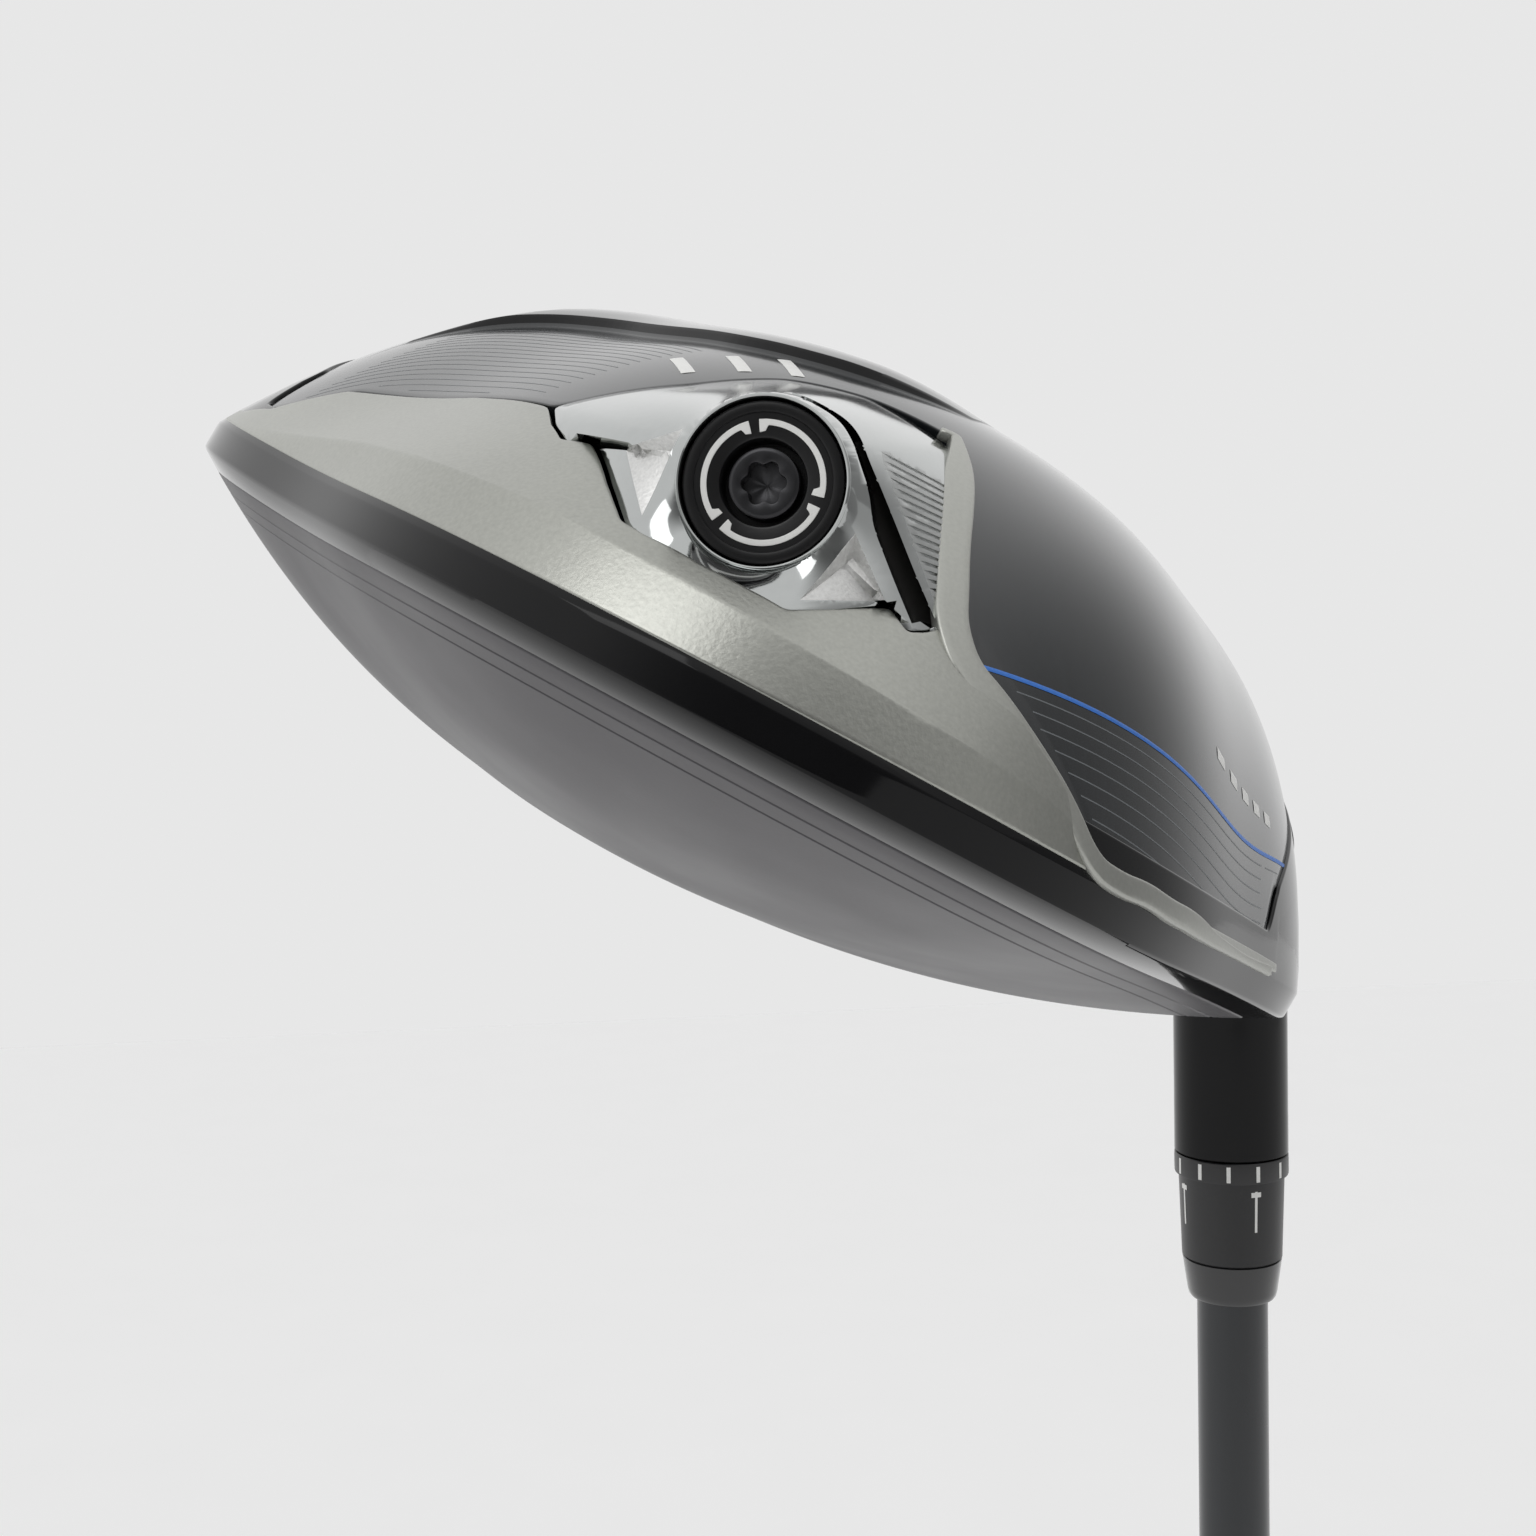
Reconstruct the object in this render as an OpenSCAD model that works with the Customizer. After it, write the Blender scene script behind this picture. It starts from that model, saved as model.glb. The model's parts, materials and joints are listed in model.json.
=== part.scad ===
// Adjustable golf driver, standing on its butt with the head at the top and the sole up.
// Row frame: +Z runs up the shaft, the origin is the centre of the grip's butt face.
// The toe points to -X, the heel to +X, the face to +Y and the back of the head to -Y.
// Head frame: x towards the heel, y towards the face, z out of the sole. Its origin is the
// point where the shaft's axis meets the ground.

/* [Club] */
// Length from the butt to the ground, along the shaft
club_len = 1162; // [1118:1:1219]
// Lie angle between the shaft and the ground
lie = 58; // [57:0.5:59]
// Loft of the face
loft = 10.5; // [9:0.5:12]

/* [Head] */
// Mean radius of the head seen from above
plan_r = 60.4; // [59:0.2:61.4]
// How much the outline is flattened at the face and drawn out at the back
plan_three = 7.2; // [6:0.1:8]
// How much the outline leans towards the toe
plan_two = 1.2; // [0:0.1:2]
// Height of the crown above the ground
crown_h = 55.2; // [54:0.2:58]
// Height of the topline above the ground
topline_h = 54; // [52:0.5:54]
// Height of the leading edge above the ground
leading_h = 5; // [4:0.5:6]
// Mean height of the seam round the back of the head
seam_h = 34.8; // [33:0.2:36]
// Height of the black skirt band under the crown
skirt_h = 3; // [2:0.2:4]
// Bulge and roll radius of the face
face_r = 305; // [280:5:330]

/* [Walls] */
// Thickness of the carbon crown and sole panels
panel_t = 1; // [0.8:0.1:1.2]
// Thickness of the body casting under the panels
ledge_t = 0.8; // [0.6:0.1:1]
// Thickness of the rear ring
ring_t = 1.5; // [1.2:0.1:1.8]
// Gap at each bonded seam
seam_gap = 0.1; // [0.05:0.01:0.15]

/* [Hosel] */
// Outer diameter of the hosel at its end
hosel_d = 13.6; // [13.4:0.1:14]
// Distance from the ground point to the hosel's end
hosel_reach = 60; // [58:0.5:62]
// Diameter of the loft sleeve inside the hosel
sleeve_d = 10.2; // [10:0.1:10.4]
// Radial running clearance of the sleeve and the bolt
run_gap = 0.06; // [0.04:0.01:0.08]

/* [Shaft] */
// Diameter of the shaft's butt
butt_d = 15.2; // [14.8:0.1:15.6]
// Diameter of the shaft's tip
tip_d = 8.5; // [8.4:0.05:8.6]
// Length of the parallel section at the tip
tip_len = 75; // [60:5:90]
// Length of the grip
grip_len = 267; // [255:1:275]
// Diameter of the grip at the butt
grip_butt_d = 27; // [26:0.5:29]
// Diameter of the grip at its mouth
grip_mouth_d = 19; // [18:0.5:20]

/* [Rear weight] */
// Diameter of the rear weight
weight_d = 11.9; // [11.5:0.1:12.5]
// Thickness of the rear weight
weight_t = 7; // [6:0.5:8]
// Yaw of the weight's axis towards the toe
weight_yaw = 16; // [12:1:20]
// Dip of the weight's axis towards the crown
weight_dip = 4; // [0:1:8]

/* [Hidden] */

// Head outline, seen from above
plan_c = [-49.3, -35.4];
sole_c = [-38, -13];
// Rise of the seam from the toe to the heel, about its mean height
seam_tilt = 3.1;
crown_c = [-59, -18];
sole_power = 3.5;
crown_power = 2.25;
// Face sector, as directions from the outline's centre
face_heel_a = 22;
face_toe_a = 158;
face_run_a = 40;
face_c = [-50, 13, -29];
// Points on the head are taken every step_a degrees
step_a = 6;
turns = 360 / step_a;
fine_a = 3;
// Width of the lip that a panel is glued to, as a share of the dome
lip_share = 0.07;
crown_share = 0.95;
front_share = 0.8;
heel_share = 0.52;
under_t = panel_t + seam_gap;
casting_t = under_t + ledge_t;
// The sole panel sits a little below the casting round it
sole_sink = 0.3;
sole_under_t = sole_sink + panel_t + 0.5;
// Depth of the glue under the crown panel's edge
crown_glue = 0.25;
crown_gap = 0.009;
slope_k = 1.3;
// The rear ring runs between these directions
ring_from_a = 180;
ring_to_a = 342;

// Positions along the shaft
z_ground = club_len;
z_hosel = club_len - hosel_reach;
cap_t = 4;
collar_h = 2.6;
sleeve_low_h = 10.4;
ferrule_h = 5;
spline_h = 5;
sleeve_up_h = 31;
z_sleeve_low = z_hosel - collar_h - sleeve_low_h;
z_ferrule = z_sleeve_low - ferrule_h;
z_sleeve_end = z_hosel + sleeve_up_h;
glue = 0.05;
shaft_end_z = z_hosel + 20;
shaft_bore_end_z = z_hosel + 20.5;
z_seat = z_hosel + 32;
seat_t = 2;
washer_t = 1.2;
bolt_head_r = 3.9;
bolt_head_h = 5;
bolt_shank_r = 2.45;
bolt_shank_len = 13.5;
bolt_well_r = 5;
teeth = 12;
tooth_root_r = 5.45;
tooth_tip_r = 6;

// Rear weight
weight_c = [-64.56, -94, -22.69];
weight_r = weight_d / 2;
socket_r = weight_r + 0.12;
barrel_r = weight_r + 0.8;
socket_depth = weight_t + 1.7;
floor_t = 2;
boss_r = 4.4;
boss_depth = 6;
insert_r = 3.6;
screw_r = 2.45;
screw_hole_r = screw_r + run_gap;
screw_head_r = 2.7;
screw_head_h = 2.2;
screw_len = 11;

function ease(t) = let (u = max(0, min(1, t))) u * u * (3 - 2 * u);
function mix(a, b, t) = a * (1 - t) + b * t;

// Share of the face in the direction a: 1 at the face, 0 round the back
function face_share(a) =
    let (d = a < 0 ? a + 360 : a >= 360 ? a - 360 : a)
    ease((d - face_heel_a) / face_run_a) * ease((face_toe_a - d) / face_run_a);

function plan_radius(a) = plan_r + plan_three * sin(3 * a + 19) - plan_two * sin(2 * a);
function seam_z(a) = -seam_h + seam_tilt * cos(a - 23);

// The face is part of a large ball, leant back by the loft
ball_c = [face_c.x, face_c.y - face_r * cos(loft), face_c.z + face_r * sin(loft)];
function face_y(x, z) =
    ball_c.y + sqrt(face_r * face_r - pow(x - ball_c.x, 2) - pow(z - ball_c.z, 2));

// A point of the rim wall in the direction a. k is 0 at the crown and 1 at the sole,
// and t is the depth under the outer surface.
function rim(a, k, t) =
    let (
        w = face_share(a),
        r = plan_radius(a) - slope_k * t,
        x = plan_c.x + r * cos(a),
        y = plan_c.y + r * sin(a),
        top = mix(seam_z(a) - skirt_h, -topline_h + t, w),
        low = mix(seam_z(a), -leading_h - t, w),
        z = mix(top, low, k)
    )
    [x, mix(y, face_y(x, z) - t, w), z];

// A point of a dome between its apex (share 0) and its rim (share 1)
function dome(apex, edge, share, power) = [
    mix(apex.x, edge.x, share),
    mix(apex.y, edge.y, share),
    apex.z + (edge.z - apex.z) * pow(share, power)
];
function crown(a, share, t) =
    dome([crown_c.x, crown_c.y, -crown_h + t], rim(a, 0, t), share, crown_power);
function sole(a, share, t) =
    dome([sole_c.x, sole_c.y, -t], rim(a, 1, t), share, sole_power);

// Direction and share at which the sole passes through a point seen from above
function bearing(p) = let (b = atan2(p.y - sole_c.y, p.x - sole_c.x)) b < 0 ? b + 360 : b;
function rim_bearing(a) = bearing(rim(a, 1, 0));
function find_a(b, lo, hi, n) =
    n == 0 ? (lo + hi) / 2
    : let (m = (lo + hi) / 2) rim_bearing(m) < b ? find_a(b, m, hi, n - 1)
    : find_a(b, lo, m, n - 1);
function sole_place(p) =
    let (
        a = find_a(bearing(p), 170, 350, 20),
        e = rim(a, 1, 0)
    )
    [a, norm([p.x - sole_c.x, p.y - sole_c.y]) / norm([e.x - sole_c.x, e.y - sole_c.y])];
function on_sole(p, t) = let (q = sole_place(p)) sole(q[0], q[1], t);

// Outline of the weight housing, seen from above, from its toe corner over the front
// to the heel and back along the rear
housing_front = [[-80.5, -71], [-72.5, -71.5], [-65.5, -69], [-59, -70], [-51, -75]];
housing_back = [[-47.5, -92.5], [-50, -94.5], [-58.5, -97.5], [-71.5, -91.5], [-76, -80.5]];
// Seam between the sole panel and the rear ring, from the toe to the heel
ring_toe = [[-105, -36], [-93.5, -49.5], [-87, -59.5]];
ring_heel = [[-45, -92], [-37, -93], [-28.5, -91], [-13, -78], [-1, -60]];
function places(list) = [for (p = list) sole_place(p)];
front_seam = places(concat(ring_toe, housing_front, ring_heel));
back_seam = places(concat(
    ring_toe, [housing_front[0]],
    [for (i = [len(housing_back) - 1 : -1 : 0]) housing_back[i]], ring_heel
));

// Axes of the rear weight in the head frame
yaw_c = cos(weight_yaw);
yaw_s = sin(weight_yaw);
dip_c = cos(weight_dip);
dip_s = sin(weight_dip);
weight_x = [yaw_c, -yaw_s, 0];
weight_y = [-yaw_s * dip_s, -yaw_c * dip_s, dip_c];
weight_z = [-yaw_s * dip_c, -yaw_c * dip_c, -dip_s];

module head_frame() {
    translate([0, 0, z_ground]) rotate([0, 90 - lie, 0]) children();
}

module weight_frame() {
    head_frame() translate(weight_c) rotate([90 + weight_dip, 0, -weight_yaw]) children();
}

// Closed solid between an outer and an inner net of points. Each hole is a block of cells
// [first column, last column, first row, last row] that is left open. A round net closes
// on itself, and tips close the first row over an outer and an inner point.
module shell(outer, inner, round = true, holes = [], tips = []) {
    n = len(outer);
    m = len(outer[0]);
    columns = round ? n : n - 1;
    capped = len(tips) > 0;
    function at(i, j) = ((i + n) % n) * m + j;
    function under(i, j) = n * m + at(i, j);
    function in_hole(i, j) =
        len([for (h = holes) if (i >= h[0] && i <= h[1] && j >= h[2] && j <= h[3]) 1]) > 0;
    function filled(i, j) =
        j >= 0 && j < m - 1 && (round || (i >= 0 && i < columns)) && !in_hole((i + n) % n, j);
    function wall(i1, j1, i2, j2) = [
        [at(i2, j2), at(i1, j1), under(i1, j1)],
        [at(i2, j2), under(i1, j1), under(i2, j2)]
    ];
    cells = [for (i = [0 : columns - 1], j = [0 : m - 2]) if (filled(i, j)) [i, j]];
    skins = [for (c = cells) let (i = c[0], j = c[1]) each [
        [at(i, j), at(i + 1, j), at(i + 1, j + 1)],
        [at(i, j), at(i + 1, j + 1), at(i, j + 1)],
        [under(i, j), under(i + 1, j + 1), under(i + 1, j)],
        [under(i, j), under(i, j + 1), under(i + 1, j + 1)]
    ]];
    walls = [for (c = cells) let (i = c[0], j = c[1]) each concat(
        filled(i, j - 1) || (capped && j == 0) ? [] : wall(i, j, i + 1, j),
        filled(i, j + 1) ? [] : wall(i + 1, j + 1, i, j + 1),
        filled(i - 1, j) ? [] : wall(i, j + 1, i, j),
        filled(i + 1, j) ? [] : wall(i + 1, j, i + 1, j + 1)
    )];
    fans = capped ? [for (i = [0 : n - 1]) each [
        [at(i + 1, 0), at(i, 0), 2 * n * m],
        [under(i, 0), under(i + 1, 0), 2 * n * m + 1]
    ]] : [];
    points = concat([for (row = outer) each row], [for (row = inner) each row], tips);
    polyhedron(points = points, faces = concat(skins, walls, fans), convexity = 10);
}

module ring(r_out, r_in, h) {
    difference() {
        cylinder(r = r_out, h = h, $fn = 64);
        translate([0, 0, -1]) cylinder(r = r_in, h = h + 2, $fn = 64);
    }
}

// Six-lobed driver socket, opening upwards at z = 0
module lobe_socket(size, depth) {
    lobe_r = size * 0.14;
    translate([0, 0, -depth]) {
        cylinder(r = size * 0.36, h = depth + 1, $fn = 48);
        for (i = [0 : 5])
            rotate([0, 0, i * 60]) translate([size / 2 - lobe_r, 0, 0])
                cylinder(r = lobe_r, h = depth + 1, $fn = 24);
    }
}

// Disc with straight-sided teeth, for the joint between the sleeve and the hosel
module toothed_disc(root_r, tip_r, share, h) {
    half = share * PI * root_r / teeth;
    function corner(a, r, side) =
        let (run = sqrt(r * r - half * half))
        [run * cos(a) - side * half * sin(a), run * sin(a) + side * half * cos(a)];
    linear_extrude(h) polygon([
        for (i = [0 : teeth - 1])
            let (a = (i + 0.5) * 360 / teeth)
            each [
                corner(a, root_r, -1), corner(a, tip_r, -1),
                corner(a, tip_r, 1), corner(a, root_r, 1)
            ]
    ]);
}

// Radii of the shaft
function shaft_r(z) =
    let (taper_end = shaft_end_z - tip_len)
    z > taper_end ? tip_d / 2 : mix(butt_d, tip_d, (z - cap_t) / (taper_end - cap_t)) / 2;
tape_t = 0.4;

module grip() {
    groove_w = 1.2;
    groove_depth = 0.5;
    groove_pitch = 12;
    mouth_r = shaft_r(grip_len) + tape_t + glue;
    butt_bore_r = shaft_r(cap_t) + tape_t + glue;
    color([0.09, 0.09, 0.1]) difference() {
        rotate_extrude($fn = 96) polygon([
            [0, 0], [grip_butt_d / 2 - 1, 0], [grip_butt_d / 2, 1],
            [grip_butt_d / 2, 5], [grip_butt_d / 2 - 1.4, 12],
            [grip_mouth_d / 2, grip_len - 6], [grip_mouth_d / 2, grip_len - 1],
            [grip_mouth_d / 2 - 1, grip_len], [mouth_r, grip_len],
            [butt_bore_r, cap_t], [0, cap_t]
        ]);
        translate([0, 0, -1]) cylinder(r = 1, h = cap_t + 2, $fn = 24);
        for (z = [24 : groove_pitch : grip_len - 24])
            translate([0, 0, z]) grip_groove(z, groove_w, groove_depth);
    }
}

// One shallow groove round the grip at height z
module grip_groove(z, w, depth) {
    r = mix(grip_butt_d / 2 - 1.4, grip_mouth_d / 2, (z - 12) / (grip_len - 18));
    difference() {
        cylinder(r = r + 2, h = w, $fn = 96);
        translate([0, 0, -1]) cylinder(r = r - depth, h = w + 2, $fn = 96);
    }
}

module grip_tape() {
    tape_top = grip_len - 5;
    color([0.85, 0.83, 0.76]) rotate_extrude($fn = 96) polygon([
        [shaft_r(cap_t + 2) + glue, cap_t + 2],
        [shaft_r(cap_t + 2) + tape_t, cap_t + 2],
        [shaft_r(tape_top) + tape_t, tape_top],
        [shaft_r(tape_top) + glue, tape_top]
    ]);
}

module shaft() {
    taper_end = shaft_end_z - tip_len;
    bore_tip_r = 2.4;
    bore_butt_r = butt_d / 2 - 1.1;
    start = cap_t + glue;
    color([0.2, 0.22, 0.25]) rotate_extrude($fn = 96) polygon([
        [bore_butt_r, start], [butt_d / 2, start], [tip_d / 2, taper_end],
        [tip_d / 2, shaft_end_z], [bore_tip_r, shaft_end_z], [bore_tip_r, taper_end]
    ]);
}

module shaft_tip_plug() {
    color([0.75, 0.62, 0.42]) translate([0, 0, shaft_end_z - 12])
        cylinder(r = 2.35, h = 12, $fn = 48);
}

module ferrule() {
    low_r = 5.3;
    top_r = 5.95;
    color([0.05, 0.05, 0.055]) translate([0, 0, z_ferrule]) rotate_extrude($fn = 96) polygon([
        [tip_d / 2 + glue, 0], [low_r - 0.7, 0], [low_r - 0.2, 0.2], [low_r, 0.7],
        [top_r, ferrule_h - glue], [tip_d / 2 + glue, ferrule_h - glue]
    ]);
}

module loft_sleeve() {
    low_r = 6;
    high_r = 6.35;
    collar_r = hosel_d / 2;
    thread_r = bolt_shank_r + run_gap;
    color([0.07, 0.07, 0.08]) difference() {
        union() {
            translate([0, 0, z_sleeve_low])
                cylinder(r1 = low_r, r2 = high_r, h = sleeve_low_h, $fn = 96);
            translate([0, 0, z_hosel - collar_h])
                cylinder(r = collar_r, h = collar_h - seam_gap, $fn = 96);
            translate([0, 0, z_hosel - seam_gap])
                toothed_disc(tooth_root_r, tooth_tip_r, 0.45, spline_h);
            translate([0, 0, z_hosel])
                cylinder(r = sleeve_d / 2, h = sleeve_up_h, $fn = 96);
        }
        translate([0, 0, z_sleeve_low - 1])
            cylinder(r = tip_d / 2 + glue, h = shaft_bore_end_z - z_sleeve_low + 1, $fn = 96);
        translate([0, 0, shaft_bore_end_z + 1])
            cylinder(r = thread_r, h = 20, $fn = 64);
        for (i = [0 : teeth - 1])
            rotate([0, 0, i * 360 / teeth + 15]) translate([collar_r - 0.25, -0.3, z_hosel - 2])
                cube([1, 0.6, 1.4]);
    }
}

module hosel_bolt() {
    head_z = z_seat + seat_t + washer_t;
    color([0.12, 0.12, 0.13]) difference() {
        union() {
            translate([0, 0, head_z]) cylinder(r = bolt_head_r, h = bolt_head_h, $fn = 64);
            translate([0, 0, head_z - bolt_shank_len])
                cylinder(r = bolt_shank_r, h = bolt_shank_len + 1, $fn = 64);
        }
        translate([0, 0, head_z + bolt_head_h]) lobe_socket(4.5, 3);
    }
}

module bolt_washer() {
    color([0.6, 0.6, 0.62]) translate([0, 0, z_seat + seat_t])
        ring(4.6, bolt_shank_r + run_gap, washer_t - 0.02);
}

// Plastic ring that keeps the loosened bolt in its well
module bolt_retainer() {
    color([0.8, 0.8, 0.78]) translate([0, 0, z_seat + seat_t + washer_t + bolt_head_h + 0.3])
        ring(bolt_well_r - 0.02, 3.2, 0.8);
}

// Net of points of the casting: from the sole lip over the rim to the crown lip.
// The sole lip sinks under the rear ring, and both lips step down under the panels.
function at_ring(a) = a >= ring_from_a && a <= ring_to_a;
function casting_sink(a) = at_ring(a) ? ring_t + seam_gap : 0;
function casting_deep(a) = (at_ring(a) ? casting_sink(a) : sole_under_t) + ledge_t;
// The casting reaches further in round the heel, where the hosel joins it
function casting_share(a) =
    at_ring(a) ? 0.93
    : a > ring_to_a ? mix(0.93, front_share, (a - ring_to_a) / (360 - ring_to_a))
    : mix(
        mix(0.93, front_share, ease((180 - a) / 40)), heel_share,
        ease(1 - abs(a - 36) / 42)
    );
slot_shares = [0.45, 0.75];
face_rows = [0.9, 0.7, 0.5, 0.3, 0.1];
function casting_outer(a) =
    let (sink = casting_sink(a), cut = casting_share(a), low = max(sole_under_t, sink))
    concat(
        [sole(a, cut - lip_share, low), sole(a, cut - 0.005, low), sole(a, cut, sink)],
        [for (q = slot_shares) sole(a, mix(cut, 1, q), sink)],
        [rim(a, 1, sink)],
        [for (k = face_rows) rim(a, k, 0)],
        [rim(a, 0, 0), crown(a, crown_share + crown_gap, 0), crown(a, crown_share, under_t + crown_glue)],
        [crown(a, crown_share - lip_share, under_t + crown_glue)]
    );
function casting_inner(a) =
    let (deep = casting_deep(a), cut = casting_share(a))
    concat(
        [for (q = [cut - lip_share, cut - 0.005, cut]) sole(a, q, deep)],
        [for (q = slot_shares) sole(a, mix(cut, 1, q), deep)],
        [rim(a, 1, deep)],
        [for (k = face_rows) rim(a, k, casting_t)],
        [rim(a, 0, casting_t)],
        [for (q = [0.015, 0, -lip_share]) crown(a, crown_share + q, casting_t + crown_glue)]
    );
// Columns and rows of the net that are left open for the face and for the sole slot
face_from = 7;
face_to = 22;
slot_from = 10;
slot_to = 19;
face_hole = [face_from, face_to, 6, 9];
slot_hole = [slot_from, slot_to, 3, 3];

module body_casting() {
    angles = [for (i = [0 : turns - 1]) i * step_a];
    color([0.05, 0.05, 0.055]) difference() {
        union() {
            head_frame() shell(
                [for (a = angles) casting_outer(a)],
                [for (a = angles) casting_inner(a)],
                holes = [face_hole, slot_hole]
            );
            hosel_neck(8);
        }
        translate([0, 0, z_hosel - 1])
            toothed_disc(tooth_root_r + run_gap, tooth_tip_r + run_gap, 0.55, spline_h + 1.2);
        translate([0, 0, z_hosel])
            cylinder(r = sleeve_d / 2 + run_gap, h = z_seat - z_hosel, $fn = 96);
        translate([0, 0, z_seat - 1]) cylinder(r = 3, h = seat_t + 2, $fn = 64);
        translate([0, 0, z_seat + seat_t]) cylinder(r = bolt_well_r, h = 40, $fn = 64);
        weight_frame() weight_opening();
    }
}

// Hosel and the fairings that join it to the heel of the head
module hosel_neck(top_r) {
    straight = 17;
    fillet_at = [-8, -8, -27];
    fillet_r = 7;
    toe_root_at = [-19, -4, -15];
    toe_root_r = 10;
    heel_root_at = [-3, -14, -25];
    heel_root_r = 8;
    root_from = 34;
    root_len = 28;
    cut_at = [3.6, -50, -6.4];
    cut_tilt = 31.5;
    difference() {
        union() {
            translate([0, 0, z_hosel]) cylinder(r = hosel_d / 2, h = straight, $fn = 96);
            translate([0, 0, z_hosel + straight])
                cylinder(r1 = hosel_d / 2, r2 = top_r, h = hosel_reach - straight, $fn = 96);
            hull() {
                translate([0, 0, z_hosel + straight]) cylinder(r = hosel_d / 2 - 0.2, h = 1, $fn = 32);
                head_frame() translate(fillet_at) sphere(r = fillet_r, $fn = 24);
            }
            hull() {
                translate([0, 0, z_ground - root_from]) cylinder(r = top_r - 0.4, h = root_len, $fn = 32);
                head_frame() translate(toe_root_at) sphere(r = toe_root_r, $fn = 24);
                head_frame() translate(heel_root_at) sphere(r = heel_root_r, $fn = 24);
            }
        }
        head_frame() translate(cut_at) rotate([0, cut_tilt, 0])
            translate([-50, 0, 0]) cube([100, 100, 60]);
    }
}

module face_patch(depth_out, depth_in, inset) {
    from_a = face_from * step_a + 2 * inset;
    to_a = (face_to + 1) * step_a - 2 * inset;
    columns = 18;
    low = face_rows[0] - 0.01 * inset;
    high = face_rows[4] + 0.01 * inset;
    rows = [low, 0.7, 0.5, 0.3, high];
    angles = [for (i = [0 : columns]) mix(from_a, to_a, i / columns)];
    head_frame() shell(
        [for (a = angles) [for (k = rows) rim(a, k, depth_out)]],
        [for (a = angles) [for (k = rows) rim(a, k, depth_in)]],
        round = false
    );
}

module face_insert() {
    color([0.12, 0.16, 0.24]) face_patch(0.45, 3.2, 0.6);
}

module face_cover() {
    color([0.08, 0.1, 0.14]) face_patch(0, 0.4, 0.6);
}

module slot_insert() {
    angles = [for (i = [slot_from : slot_to + 1]) i * step_a];
    margin = 0.3;
    last = len(angles) - 1;
    place = [for (i = [0 : last]) angles[i] + (i == 0 ? margin : i == last ? -margin : 0)];
    margin_share = 0.03;
    rows = [slot_shares[0] + margin_share, slot_shares[1] - margin_share];
    function net(t) = [for (a = place) [for (q = rows) sole(a, mix(casting_share(a), 1, q), t)]];
    color([0.1, 0.1, 0.1]) head_frame() shell(net(0.2), net(2.6), round = false);
}

module crown_panel() {
    angles = [for (i = [0 : turns - 1]) i * step_a];
    shares = [0.15, 0.35, 0.52, 0.66, 0.78, 0.87, crown_share];
    color([0.3, 0.29, 0.31]) head_frame() shell(
        [for (a = angles) [for (q = shares) crown(-a, q, 0)]],
        [for (a = angles) [for (q = shares) crown(-a, q, panel_t)]],
        tips = [crown(0, 0, 0), crown(0, 0, panel_t)]
    );
}

// Outer share of the sole panel in the direction a
panel_gap = 0.012;
ring_gap = 0.008;
function panel_share(a) =
    (a > ring_from_a && a < ring_to_a ? lookup(a, front_seam) : casting_share(a)) - panel_gap;

module sole_panel() {
    angles = [for (a = [0 : fine_a : 360 - fine_a]) a];
    near = 0.4;
    function net(t) = [for (a = angles) concat(
        [for (q = [0.2, near]) sole(a, q, t)],
        [for (q = [0.45, 0.75, 0.9, 1]) sole(a, mix(near, panel_share(a), q), t)]
    )];
    color([0.2, 0.21, 0.22]) head_frame() shell(
        net(sole_sink),
        net(sole_sink + panel_t),
        tips = [sole(0, 0, sole_sink), sole(0, 0, sole_sink + panel_t)]
    );
}

module rear_ring() {
    angles = [for (a = [ring_from_a : fine_a : ring_to_a]) a];
    columns = [0, 0.25, 0.5, 0.75, 1];
    function inner_share(a) = lookup(a, back_seam) + ring_gap;
    function net(t) =
        [for (a = angles) [for (q = columns) sole(a, mix(inner_share(a), 0.995, q), t)]];
    color([0.6, 0.6, 0.57]) head_frame() shell(net(0), net(ring_t), round = false);
}

// Outline of the housing with, at each corner, the direction of its barrel it leads to
housing_turns = [174, 161, 128, 95, 53, -4, -14, -46, -130, -160];
housing_loop = concat(housing_front, housing_back);
housing_marks = [
    for (i = [0 : len(housing_loop)])
        let (p = housing_loop[i % len(housing_loop)])
        [p.x, p.y, i < len(housing_turns) ? housing_turns[i] : housing_turns[0] - 360]
];
function along(list, n) = [
    for (i = [0 : len(list) - 2], k = [0 : n - 1]) mix(list[i], list[i + 1], k / n)
];

// Opening in the casting under the weight housing
module weight_opening() {
    reach = 60;
    round_r = 11.6;
    corner_r = 7.8;
    corner_at = [9.5, -5, 0];
    translate([0, 0, -reach / 2]) hull() {
        cylinder(r = round_r, h = reach, $fn = 48);
        translate(corner_at) cylinder(r = corner_r, h = reach, $fn = 48);
    }
}

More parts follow.
